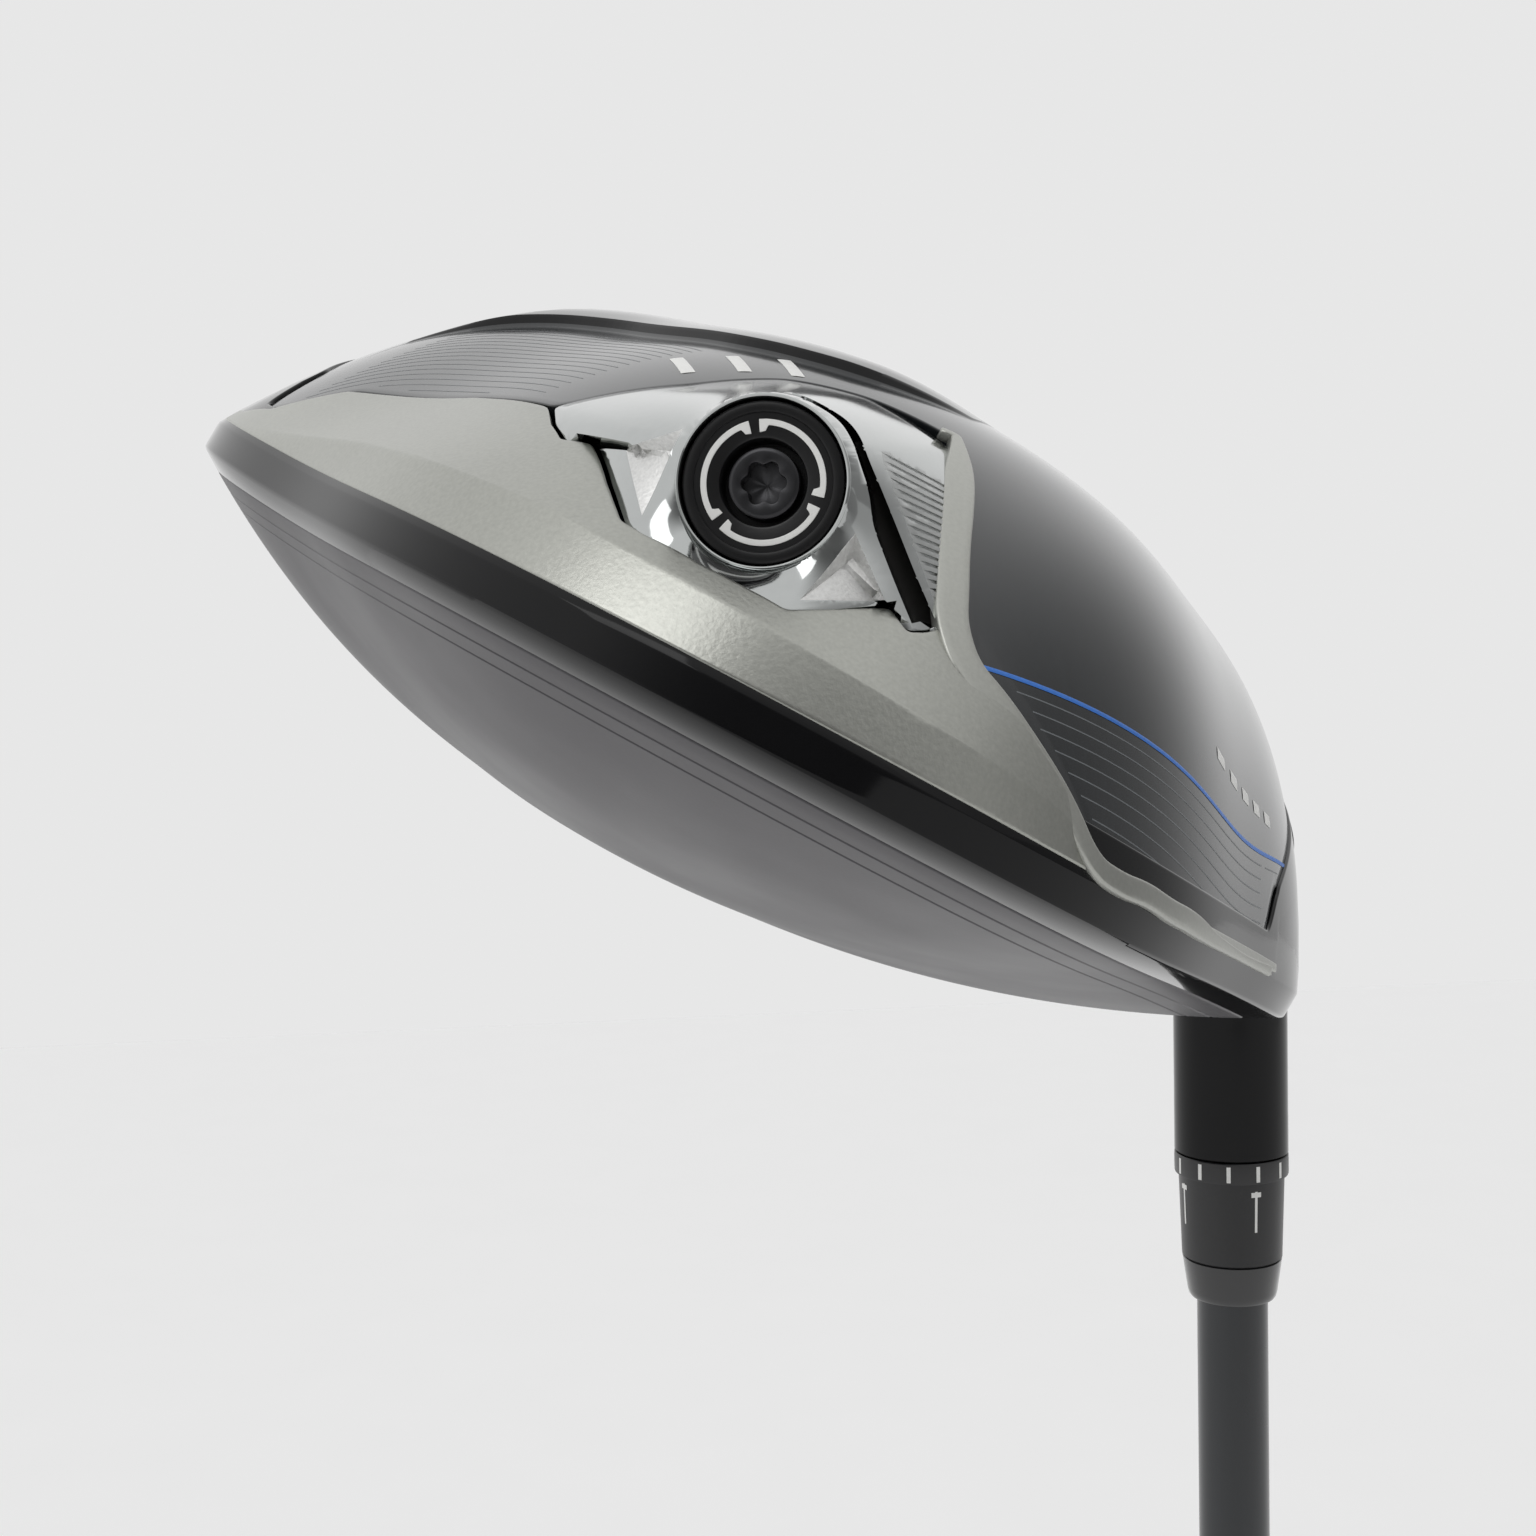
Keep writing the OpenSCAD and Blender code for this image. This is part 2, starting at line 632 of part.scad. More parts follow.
module weight_housing() {
    outline = along(housing_marks, 3);
    inset = 0.8;
    mid = [-62.5, -83, 0];
    sink_edge = [0.6, 1.2, -1.45];
    sink_rim = [0.55, 1.65, -0.8];
    function edge(p) =
        let (q = [p.x, p.y, 0] + (mid - [p.x, p.y, 0]) * inset / norm(mid - [p.x, p.y, 0]))
        on_sole([q.x, q.y], 0);
    function rim_point(p) =
        weight_c + weight_x * plate_r * cos(p.z) + weight_y * plate_r * sin(p.z)
        - weight_z * 0.6;
    plate_r = barrel_r - 0.5;
    color([0.82, 0.82, 0.84]) difference() {
        union() {
            head_frame() shell(
                [for (p = outline) [edge(p), rim_point(p)]],
                [for (p = outline) [edge(p) + sink_edge, rim_point(p) + sink_rim]]
            );
            weight_frame() translate([0, 0, -socket_depth - floor_t])
                cylinder(r = barrel_r, h = socket_depth + floor_t, $fn = 96);
            weight_frame() translate([0, 0, -socket_depth - floor_t - boss_depth])
                cylinder(r = boss_r, h = boss_depth + 1, $fn = 64);
        }
        weight_frame() translate([0, 0, -socket_depth])
            cylinder(r = socket_r, h = socket_depth + 8, $fn = 96);
        weight_frame() translate([0, 0, -socket_depth - floor_t - boss_depth - 1])
            cylinder(r = insert_r + 0.02, h = floor_t + boss_depth + 2, $fn = 64);
    }
}

module weight_insert() {
    color([0.7, 0.55, 0.25]) weight_frame()
        translate([0, 0, -socket_depth - floor_t - boss_depth])
            ring(insert_r, screw_hole_r, floor_t + boss_depth - 0.05);
}

module rear_weight() {
    face_sink = 0.3;
    groove_in_r = 3.7;
    groove_out_r = 4.5;
    top = -0.6;
    color([0.1, 0.1, 0.11]) weight_frame() difference() {
        translate([0, 0, top - weight_t]) cylinder(r = weight_r, h = weight_t, $fn = 96);
        translate([0, 0, top - weight_t - 1]) cylinder(r = screw_r + 0.1, h = 20, $fn = 64);
        translate([0, 0, top - screw_head_h - face_sink])
            cylinder(r = screw_head_r + 0.1, h = 10, $fn = 64);
        translate([0, 0, top - face_sink]) difference() {
            cylinder(r = groove_out_r, h = 2, $fn = 96);
            translate([0, 0, -1]) cylinder(r = groove_in_r, h = 4, $fn = 96);
        }
    }
}

module weight_screw() {
    head_top = -0.85;
    color([0.2, 0.2, 0.21]) weight_frame() difference() {
        union() {
            translate([0, 0, head_top - screw_head_h])
                cylinder(r = screw_head_r, h = screw_head_h, $fn = 64);
            translate([0, 0, head_top - screw_head_h - screw_len])
                cylinder(r = screw_r, h = screw_len + 1, $fn = 64);
        }
        translate([0, 0, head_top]) lobe_socket(3.9, 1.6);
    }
}

// Rubber ring under the weight that keeps the loosened screw in it
module screw_retainer() {
    color([0.05, 0.05, 0.05]) weight_frame() translate([0, 0, -0.65 - weight_t - 0.9])
        ring(4, screw_r + 0.01, 0.9);
}

grip();
grip_tape();
shaft();
shaft_tip_plug();
ferrule();
loft_sleeve();
hosel_bolt();
bolt_washer();
bolt_retainer();
body_casting();
face_insert();
face_cover();
slot_insert();
crown_panel();
sole_panel();
rear_ring();
weight_housing();
weight_insert();
rear_weight();
weight_screw();
screw_retainer();
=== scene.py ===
"""Visual model of an adjustable golf driver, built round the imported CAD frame."""
import json
import math

import bpy
import numpy as np
from mathutils import Matrix, Vector
from mathutils.bvhtree import BVHTree
from mathutils.geometry import delaunay_2d_cdt

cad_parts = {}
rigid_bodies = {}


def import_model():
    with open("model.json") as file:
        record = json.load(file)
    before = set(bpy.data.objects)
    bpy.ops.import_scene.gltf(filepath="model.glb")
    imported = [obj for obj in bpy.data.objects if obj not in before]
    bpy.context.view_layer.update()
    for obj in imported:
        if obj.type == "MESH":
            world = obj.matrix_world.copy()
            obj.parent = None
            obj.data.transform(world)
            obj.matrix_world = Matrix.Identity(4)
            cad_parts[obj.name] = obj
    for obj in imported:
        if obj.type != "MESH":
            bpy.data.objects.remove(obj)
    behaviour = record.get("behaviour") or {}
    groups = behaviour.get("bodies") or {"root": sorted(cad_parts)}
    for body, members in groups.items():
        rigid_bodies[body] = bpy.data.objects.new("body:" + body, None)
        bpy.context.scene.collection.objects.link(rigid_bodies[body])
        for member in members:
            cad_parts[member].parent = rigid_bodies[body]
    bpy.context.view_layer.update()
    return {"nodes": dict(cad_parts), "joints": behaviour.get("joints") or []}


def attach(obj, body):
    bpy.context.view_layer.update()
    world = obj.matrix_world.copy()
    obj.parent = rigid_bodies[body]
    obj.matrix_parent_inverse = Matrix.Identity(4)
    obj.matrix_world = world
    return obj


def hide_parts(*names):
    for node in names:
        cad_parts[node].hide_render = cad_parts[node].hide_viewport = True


for old in list(bpy.data.objects):
    bpy.data.objects.remove(old)
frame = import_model()

# ---------------------------------------------------------------- sizes, in millimetres
MM = 0.001
LIE = 58
LOFT = 10.5
CLUB_LEN = 1162
HOSEL_END = CLUB_LEN - 60
HOSEL_R = 6.8
SHAFT_TIP_R = 4.25
PLAN_C = np.array([-49.3, -35.4])
SOLE_C = np.array([-38.0, -13.0])
CROWN_C = np.array([-59.0, -18.0])
PLAN_R = 60.4
PLAN_THREE = 7.2
PLAN_TWO = 1.2
CROWN_H = 55.2
TOPLINE_H = 54
LEADING_H = 5
SEAM_H = 34.8
SEAM_TILT = 3.1
SKIRT_H = 3
FACE_R = 305
FACE_C = (-50, 13, -29)
SOLE_POWER = 3.5
CROWN_POWER = 2.25
CROWN_EDGE = 0.955
RING_EDGE = 0.995

# Joints of the frame give the rear weight its place and its axis.
joints = {j["name"]: j for j in frame["joints"]}
WEIGHT_POS = np.array(joints["weight_screw_turn"]["pos_m"])
WEIGHT_AXIS = np.array(joints["weight_release"]["axis"])

HEAD = Matrix.Translation((0, 0, CLUB_LEN * MM)) @ Matrix.Rotation(math.radians(90 - LIE), 4, "Y")
HEAD = HEAD @ Matrix.Scale(MM, 4)
CLUB = Matrix.Scale(MM, 4)
axis_z = WEIGHT_AXIS / np.linalg.norm(WEIGHT_AXIS)
axis_x = np.cross((0, 0, 1), axis_z)
axis_x /= np.linalg.norm(axis_x)
axis_y = np.cross(axis_z, axis_x)
WEIGHT = Matrix.Identity(4)
for row in range(3):
    for col, axis in enumerate((axis_x, axis_y, axis_z)):
        WEIGHT[row][col] = axis[row] * MM
    WEIGHT[row][3] = WEIGHT_POS[row]


# ---------------------------------------------------------------- shape of the head
def smooth(t):
    u = np.clip(t, 0, 1)
    return u * u * (3 - 2 * u)


def mix(a, b, t):
    return a * (1 - t) + b * t


def sind(a):
    return np.sin(np.radians(a))


def cosd(a):
    return np.cos(np.radians(a))


def face_share(a):
    d = np.mod(a, 360)
    return smooth((d - 22) / 40) * smooth((158 - d) / 40)


def plan_radius(a):
    return PLAN_R + PLAN_THREE * sind(3 * a + 19) - PLAN_TWO * sind(2 * a)


def seam_z(a):
    return -SEAM_H + SEAM_TILT * cosd(a - 23)


def face_y(x, z):
    cy = FACE_C[1] - FACE_R * cosd(LOFT)
    cz = FACE_C[2] + FACE_R * sind(LOFT)
    return cy + np.sqrt(FACE_R ** 2 - (x - FACE_C[0]) ** 2 - (z - cz) ** 2)


def rim(a, k):
    w = face_share(a)
    r = plan_radius(a)
    x = PLAN_C[0] + r * cosd(a)
    y = PLAN_C[1] + r * sind(a)
    top = mix(seam_z(a) - SKIRT_H, -TOPLINE_H, w)
    low = mix(seam_z(a), -LEADING_H, w)
    z = mix(top, low, k)
    return np.stack([x, mix(y, face_y(x, z), w), z], -1)


def dome(centre, height, edge, share, power):
    plan = mix(centre, edge[..., :2], share[..., None])
    z = height + (edge[..., 2] - height) * share ** power
    return np.concatenate([plan, z[..., None]], -1)


def skin_raw(a, s):
    """Head surface before its corners are rounded. s runs 0 to 1 over the crown, 1 to 2
    down the rim and 2 to 3 over the sole."""
    crown = dome(CROWN_C, -CROWN_H, rim(a, 0 * s), np.clip(s, 0, 1), CROWN_POWER)
    wall = rim(a, np.clip(s - 1, 0, 1))
    sole = dome(SOLE_C, 0.0, rim(a, 0 * s + 1), np.clip(3 - s, 0, 1), SOLE_POWER)
    s3 = s[..., None]
    return np.where(s3 < 1, crown, np.where(s3 <= 2, wall, sole))


COLUMNS = 720
ROWS = 600
table_a = np.arange(COLUMNS) * 360 / COLUMNS
table_s = np.linspace(0, 3, ROWS + 1)


def rounded_table():
    """Samples the skin, rounding its corners by averaging along each column: 2.5 mm of
    surface round the face, and 0.5 mm round the back."""
    aa, ss = np.meshgrid(table_a, table_s, indexing="ij")
    raw = skin_raw(aa, ss)
    out = np.empty_like(raw)
    taps = np.linspace(-1, 1, 9)
    weight = 1 - np.abs(taps) * 0.85
    weight /= weight.sum()
    for i, a in enumerate(table_a):
        reach = mix(0.5, 2.6, face_share(a))
        steps = np.linalg.norm(np.diff(raw[i], axis=0), axis=1)
        run = np.concatenate([[0], np.cumsum(steps)])
        near_tip = np.minimum(1, np.minimum(run, run[-1] - run) / 4)
        for axis in range(3):
            out[i, :, axis] = sum(
                w * np.interp(run + t * reach * near_tip, run, raw[i, :, axis])
                for t, w in zip(taps, weight)
            )
    return out


def table_normals(table):
    along_a = np.roll(table, -1, 0) - np.roll(table, 1, 0)
    along_s = np.gradient(table, axis=1)
    n = np.cross(along_s, along_a)
    n[:, 0] = (0, 0, -1)
    n[:, -1] = (0, 0, 1)
    size = np.linalg.norm(n, axis=2, keepdims=True)
    n /= np.maximum(size, 1e-9)
    middle = table.reshape(-1, 3).mean(0)
    if np.sum(n * (table - middle)) < 0:
        n = -n
    n[:, 0] = (0, 0, -1)
    n[:, -1] = (0, 0, 1)
    return n


skin_table = rounded_table()
skin_normals = table_normals(skin_table)


def sample(table, a, s):
    x = np.mod(a, 360) * COLUMNS / 360
    y = np.clip(s, 0, 3) * ROWS / 3
    i = np.floor(x).astype(int)
    j = np.minimum(np.floor(y).astype(int), ROWS - 1)
    fx = (x - i)[..., None]
    fy = (y - j)[..., None]
    i0 = i % COLUMNS
    i1 = (i + 1) % COLUMNS
    low = mix(table[i0, j], table[i1, j], fx)
    high = mix(table[i0, j + 1], table[i1, j + 1], fx)
    return mix(low, high, fy)


def skin(a, s, lift=0.0):
    """Point of the head's surface, raised by lift along the surface's normal."""
    a, s = np.broadcast_arrays(np.asarray(a, float), np.asarray(s, float))
    normal = sample(skin_normals, a, s)
    normal /= np.linalg.norm(normal, axis=-1, keepdims=True)
    return sample(skin_table, a, s) + normal * np.asarray(lift)[..., None]


rim_low = rim(table_a, np.ones(COLUMNS))
rim_turn = np.unwrap(np.arctan2(rim_low[:, 1] - SOLE_C[1], rim_low[:, 0] - SOLE_C[0]))


def place_on_sole(xy):
    """Column and profile position at which the sole passes over a point seen from above."""
    d = np.asarray(xy, float) - SOLE_C
    turn = np.arctan2(d[..., 1], d[..., 0])
    turn = rim_turn[0] + np.mod(turn - rim_turn[0], 2 * np.pi)
    a = np.interp(turn, np.append(rim_turn, rim_turn[0] + 2 * np.pi), np.append(table_a, 360))
    edge = rim(a, np.ones_like(a))[..., :2]
    share = np.linalg.norm(d, axis=-1) / np.linalg.norm(edge - SOLE_C, axis=-1)
    return a, 3 - share


def drape(xy, lift=0.0):
    a, s = place_on_sole(xy)
    return skin(a, s, lift)


# ---------------------------------------------------------------- hosel and its fairing
SHAFT_DIR = np.array([-cosd(LIE), 0, sind(LIE)])
NECK_END = 9.0
NECK_BLEND = 8.0
WELL_R = 5.0


def neck_radius(t):
    """Radius of the neck, t millimetres down the shaft from the ground."""
    return HOSEL_R + 1.2 * smooth((43 - t) / 30)


def neck_distance(p):
    t = -(p @ SHAFT_DIR)
    off = p + SHAFT_DIR * t[..., None]
    side = np.linalg.norm(off, axis=-1) - neck_radius(t)
    return np.maximum(side, (NECK_END + 2 - t) * 0.9)


def soft_min(a, b, k):
    h = np.maximum(k - np.abs(a - b), 0)
    return np.minimum(a, b) - h * h / (4 * k)


def add_fairing(table, normals):
    """Raises the skin where it meets the neck, so that the two run into each other."""
    out = table.copy()
    near = neck_distance(table) < NECK_BLEND
    near &= (table_s[None, :] > 0.7) & (table_s[None, :] < 2.62)
    p = table[near]
    n = normals[near]
    h = np.zeros(len(p))
    for _ in range(10):
        f = soft_min(h, neck_distance(p + n * h[:, None]), NECK_BLEND)
        h = np.clip(h - f * 0.8, 0, NECK_BLEND / 4)
    out[near] = p + n * h[:, None]
    return out


def tree_of(table):
    n, m = table.shape[:2]
    points = [Vector(p) for p in table.reshape(-1, 3)]
    faces = [tuple(f) for f in grid_faces(n, m, True)]
    return BVHTree.FromPolygons(points, faces)


def grid_faces(n, m, wrap):
    i = np.arange(n if wrap else n - 1)
    j = np.arange(m - 1)
    ii, jj = np.meshgrid(i, j, indexing="ij")
    a = ii * m + jj
    b = ((ii + 1) % n) * m + jj
    return np.stack([a, a + 1, b + 1, b], -1).reshape(-1, 4)


head_tree = tree_of(skin_table[::3, ::3])
skin_table = add_fairing(skin_table, skin_normals)
skin_normals = table_normals(skin_table)


def head_distance(p):
    place, normal, _, far = head_tree.find_nearest(Vector(p))
    middle = Vector((PLAN_C[0], PLAN_C[1], -30))
    if normal.dot(place - middle) < 0:
        normal = -normal
    return math.copysign(far, (Vector(p) - place).dot(normal))


# ---------------------------------------------------------------- mesh helpers
def tidy_faces(faces):
    """Drops repeated corners and the faces that have fewer than three left."""
    kept = []
    for f in faces:
        corners = []
        for v in f:
            if v not in corners:
                corners.append(int(v))
        if len(corners) > 2:
            kept.append(tuple(corners))
    return kept


def vertex_normals(points, faces):
    normals = np.zeros_like(points)
    for size in {len(f) for f in faces}:
        f = np.array([x for x in faces if len(x) == size])
        n = np.cross(points[f[:, 1]] - points[f[:, 0]], points[f[:, -1]] - points[f[:, 0]])
        if size == 4:
            n = np.cross(points[f[:, 2]] - points[f[:, 0]], points[f[:, 3]] - points[f[:, 1]])
        for k in range(size):
            np.add.at(normals, f[:, k], n)
    return normals / np.maximum(np.linalg.norm(normals, axis=1, keepdims=True), 1e-12)


def border_edges(faces):
    edges = set()
    for f in faces:
        for k in range(len(f)):
            edges.add((f[k], f[(k + 1) % len(f)]))
    return [e for e in edges if (e[1], e[0]) not in edges]


def rolled(points, faces, radius=0.12, depth=0.9, steps=3):
    """Rolls every open border of a surface over a small radius and then down into it."""
    points = np.asarray(points, float)
    faces = tidy_faces(faces)
    normals = vertex_normals(points, faces)
    edges = border_edges(faces)
    out = {}
    for a, b in edges:
        run = points[b] - points[a]
        side = np.cross(run, normals[a] + normals[b])
        side /= max(np.linalg.norm(side), 1e-12)
        for v in (a, b):
            out[v] = out.get(v, np.zeros(3)) + side
    keys = list(out)
    side = np.array([out[v] for v in keys])
    n = normals[keys]
    side -= n * np.sum(side * n, 1, keepdims=True)
    side /= np.maximum(np.linalg.norm(side, axis=1, keepdims=True), 1e-12)
    base = points[keys]
    layers = [dict(zip(keys, keys))]
    count = len(points)
    grown = [points]
    turns = [math.pi / 2 * (k + 1) / steps for k in range(steps)]
    offsets = [(radius * math.sin(t), radius * (1 - math.cos(t))) for t in turns]
    for across, down in offsets + [(radius, depth)]:
        grown.append(base + side * across - n * down)
        layers.append(dict(zip(keys, range(count, count + len(keys)))))
        count += len(keys)
    for upper, lower in zip(layers, layers[1:]):
        faces += [(upper[b], upper[a], lower[a], lower[b]) for a, b in edges]
    return np.concatenate(grown), faces


def add_piece(name, points, faces, place, body, material, nodes=(), slot=None, sharp=32):
    """Makes a piece from points in a local frame, and lets it ride on a body."""
    m = np.array(place)
    world = np.asarray(points, float) @ m[:3, :3].T + m[:3, 3]
    mesh = bpy.data.meshes.new(name)
    mesh.from_pydata(world.tolist(), [], [tuple(int(v) for v in f) for f in faces])
    mesh.validate()
    mesh.polygons.foreach_set("use_smooth", [True] * len(mesh.polygons))
    mesh.set_sharp_from_angle(angle=math.radians(sharp))
    piece = bpy.data.objects.new(name, mesh)
    bpy.context.scene.collection.objects.link(piece)
    for m in material if isinstance(material, list) else [material]:
        mesh.materials.append(m)
    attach(piece, body)
    if nodes:
        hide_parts(*nodes)
    return piece


def joined(*parts):
    """Joins (points, faces) pairs into one."""
    points, faces, count = [], [], 0
    for p, f in parts:
        points.append(np.asarray(p, float))
        faces += [tuple(v + count for v in face) for face in f]
        count += len(p)
    return np.concatenate(points), faces


def grid_patch(net, wrap=False, gaps=()):
    """Faces of a net of points. Each gap is (row, open columns): between that row and the
    next the net is open in those columns, and welded in the others."""
    n, m = net.shape[:2]
    index = np.arange(n * m).reshape(n, m)
    blocked = set()
    for j, opened in gaps:
        for i in range(n):
            if not opened[i]:
                index[i, j + 1] = index[i, j]
        blocked.add(j)
    faces = []
    for i in range(n if wrap else n - 1):
        i1 = (i + 1) % n
        for j in range(m - 1):
            if j not in blocked:
                faces.append((index[i, j], index[i1, j], index[i1, j + 1], index[i, j + 1]))
    return net.reshape(-1, 3), tidy_faces(faces)


def lathe(profile, segments=128):
    """Surface of revolution about z through (radius, z) points, wound to face outwards
    when the profile runs up the outside."""
    turn = np.arange(segments) * 2 * np.pi / segments
    r = np.array([p[0] for p in profile])
    z = np.array([p[1] for p in profile])
    net = np.stack([
        np.cos(turn)[:, None] * r, np.sin(turn)[:, None] * r, np.ones((segments, 1)) * z
    ], -1)
    faces = [tuple(f[::-1]) for f in grid_faces(segments, len(profile), True)]
    return net.reshape(-1, 3), faces


def rounded_line(points, radius, steps=4):
    """Polyline with its corners cut by short arcs."""
    points = [np.asarray(p, float) for p in points]
    out = [points[0]]
    for before, corner, after in zip(points, points[1:], points[2:]):
        reach = min(radius, np.linalg.norm(before - corner) / 2.2, np.linalg.norm(after - corner) / 2.2)
        a = corner + (before - corner) / np.linalg.norm(before - corner) * reach
        b = corner + (after - corner) / np.linalg.norm(after - corner) * reach
        for k in range(steps + 1):
            t = k / steps
            out.append((1 - t) ** 2 * a + 2 * t * (1 - t) * corner + t * t * b)
    out.append(points[-1])
    return np.array(out)


def smooth_line(points, step=0.4):
    """Cubic curve that runs close to a few points."""
    points = np.asarray(points, float)
    run = np.concatenate([[0], np.cumsum(np.linalg.norm(np.diff(points, axis=0), axis=1))])
    at = np.linspace(0, run[-1], int(run[-1] / step))
    return np.stack([np.polyval(np.polyfit(run, points[:, k], 3), at) for k in (0, 1)], -1)


def resampled(points, step):
    points = np.asarray(points, float)
    run = np.concatenate([[0], np.cumsum(np.linalg.norm(np.diff(points, axis=0), axis=1))])
    count = max(2, int(round(run[-1] / step)) + 1)
    at = np.linspace(0, run[-1], count)
    return np.stack([np.interp(at, run, points[:, k]) for k in range(points.shape[1])], -1)


def ribbon(path, start, end, lift, raised=0.0, rows=5):
    """Surface strip that lies on the sole beside a path, from start to end millimetres to
    its right, its middle raised."""
    p = drape(path)
    along = np.gradient(p, axis=0)
    along /= np.linalg.norm(along, axis=1, keepdims=True)
    a, s = place_on_sole(path)
    n = sample(skin_normals, a, s)
    side = np.cross(along, n)
    side /= np.linalg.norm(side, axis=1, keepdims=True)
    net = []
    for q in np.linspace(0, 1, rows):
        off = mix(np.asarray(start, float), np.asarray(end, float), q)
        spot = p + side * np.broadcast_to(off, (len(p),))[:, None]
        net.append(drape(spot[:, :2], lift + raised * (1 - (2 * q - 1) ** 2)))
    points, faces = grid_patch(np.stack(net, 1))
    return points, [f[::-1] for f in faces]


# ---------------------------------------------------------------- materials
def node_tree(name):
    material = bpy.data.materials.new(name)
    material.use_nodes = True
    nodes = material.node_tree.nodes
    nodes.clear()
    out = nodes.new("ShaderNodeOutputMaterial")
    shader = nodes.new("ShaderNodeBsdfPrincipled")
    material.node_tree.links.new(shader.outputs[0], out.inputs[0])
    return material, nodes, material.node_tree.links, shader


def noise(nodes, links, scale, detail=4, stretch=None):
    coords = nodes.new("ShaderNodeTexCoord")
    texture = nodes.new("ShaderNodeTexNoise")
    texture.inputs["Scale"].default_value = scale
    texture.inputs["Detail"].default_value = detail
    if stretch:
        mapping = nodes.new("ShaderNodeMapping")
        mapping.inputs["Scale"].default_value = stretch
        mapping.inputs["Rotation"].default_value = (0, math.radians(90 - LIE), 0)
        links.new(coords.outputs["Object"], mapping.inputs[0])
        links.new(mapping.outputs[0], texture.inputs[0])
    else:
        links.new(coords.outputs["Object"], texture.inputs[0])
    return texture.outputs[0]


def ranged(nodes, links, value, low, high):
    node = nodes.new("ShaderNodeMapRange")
    node.inputs["From Min"].default_value = 0.3
    node.inputs["From Max"].default_value = 0.7
    node.inputs["To Min"].default_value = low
    node.inputs["To Max"].default_value = high
    links.new(value, node.inputs[0])
    return node.outputs[0]


def surface(name, colour, rough, metal=0.0, coat=0.0, coat_rough=0.05, spread=0.12, grain=900.0,
            bump=0.0, rough_spread=0.15, specular=0.5, stretch=None, patch=40.0):
    """Principled surface with a fine grain, slow colour variation and an uneven roughness."""
    material, nodes, links, shader = node_tree(name)
    fine = noise(nodes, links, grain, 3, stretch)
    slow = noise(nodes, links, patch, 3)
    blend = nodes.new("ShaderNodeMix")
    blend.data_type = "RGBA"
    dark = [c * (1 - spread) for c in colour]
    light = [min(1, c * (1 + spread)) for c in colour]
    blend.inputs["A"].default_value = (*dark, 1)
    blend.inputs["B"].default_value = (*light, 1)
    both = nodes.new("ShaderNodeMath")
    both.operation = "ADD"
    links.new(fine, both.inputs[0])
    links.new(slow, both.inputs[1])
    half = nodes.new("ShaderNodeMath")
    half.operation = "MULTIPLY"
    half.inputs[1].default_value = 0.5
    links.new(both.outputs[0], half.inputs[0])
    links.new(ranged(nodes, links, half.outputs[0], 0, 1), blend.inputs["Factor"])
    links.new(blend.outputs["Result"], shader.inputs["Base Color"])
    rough_range = ranged(nodes, links, slow, rough * (1 - rough_spread), rough * (1 + rough_spread))
    links.new(rough_range, shader.inputs["Roughness"])
    shader.inputs["Metallic"].default_value = metal
    shader.inputs["Specular IOR Level"].default_value = specular
    shader.inputs["Coat Weight"].default_value = coat
    shader.inputs["Coat Roughness"].default_value = coat_rough
    if bump:
        height = nodes.new("ShaderNodeBump")
        height.inputs["Strength"].default_value = bump
        height.inputs["Distance"].default_value = 0.00005
        links.new(fine, height.inputs["Height"])
        links.new(height.outputs[0], shader.inputs["Normal"])
    return material


def woven(name, colour, rough, pitch, coat=1.0, contrast=0.35):
    """Carbon cloth under a clear coat: two crossed sets of bands, one for each thread."""
    material, nodes, links, shader = node_tree(name)
    coords = nodes.new("ShaderNodeTexCoord")
    mapping = nodes.new("ShaderNodeMapping")
    mapping.inputs["Rotation"].default_value = (0, math.radians(90 - LIE), math.radians(45))
    links.new(coords.outputs["Object"], mapping.inputs[0])
    checker = nodes.new("ShaderNodeTexChecker")
    checker.inputs["Scale"].default_value = 1 / pitch
    links.new(mapping.outputs[0], checker.inputs[0])
    fine = noise(nodes, links, 2500, 3)
    blend = nodes.new("ShaderNodeMix")
    blend.data_type = "RGBA"
    blend.inputs["A"].default_value = (*[c * (1 - contrast) for c in colour], 1)
    blend.inputs["B"].default_value = (*[c * (1 + contrast) for c in colour], 1)
    links.new(checker.outputs["Fac"], blend.inputs["Factor"])
    links.new(blend.outputs["Result"], shader.inputs["Base Color"])
    links.new(ranged(nodes, links, fine, rough * 0.8, rough * 1.2), shader.inputs["Roughness"])
    shader.inputs["Coat Weight"].default_value = coat
    shader.inputs["Coat Roughness"].default_value = 0.04
    return material


gloss_black = surface("gloss_black", (0.004, 0.004, 0.0045), 0.08, specular=0.22, bump=0.02, patch=25)
crown_paint = surface("crown_paint", (0.052, 0.049, 0.054), 0.40, grain=2600, bump=0.10, spread=0.10)
sole_carbon = surface("sole_carbon", (0.013, 0.015, 0.017), 0.15, coat=0.3, coat_rough=0.05,
                      grain=500, spread=0.22, bump=0.02, stretch=(4, 0.6, 1))
ring_metal = surface("ring_metal", (0.39, 0.395, 0.365), 0.31, metal=0.95, grain=2800, spread=0.12,
                     bump=0.35, rough_spread=0.1)
rail_metal = surface("rail_metal", (0.42, 0.425, 0.395), 0.36, metal=0.9, grain=2800, spread=0.08,
                     bump=0.25, rough_spread=0.1)
chrome = surface("chrome", (0.46, 0.475, 0.47), 0.09, metal=1.0, grain=1200, spread=0.03, bump=0.02)
blasted = surface("blasted", (0.66, 0.66, 0.65), 0.42, metal=1.0, grain=3800, spread=0.15, bump=0.9)
weight_black = surface("weight_black", (0.008, 0.008, 0.0085), 0.30, grain=2200, bump=0.12, specular=0.35)
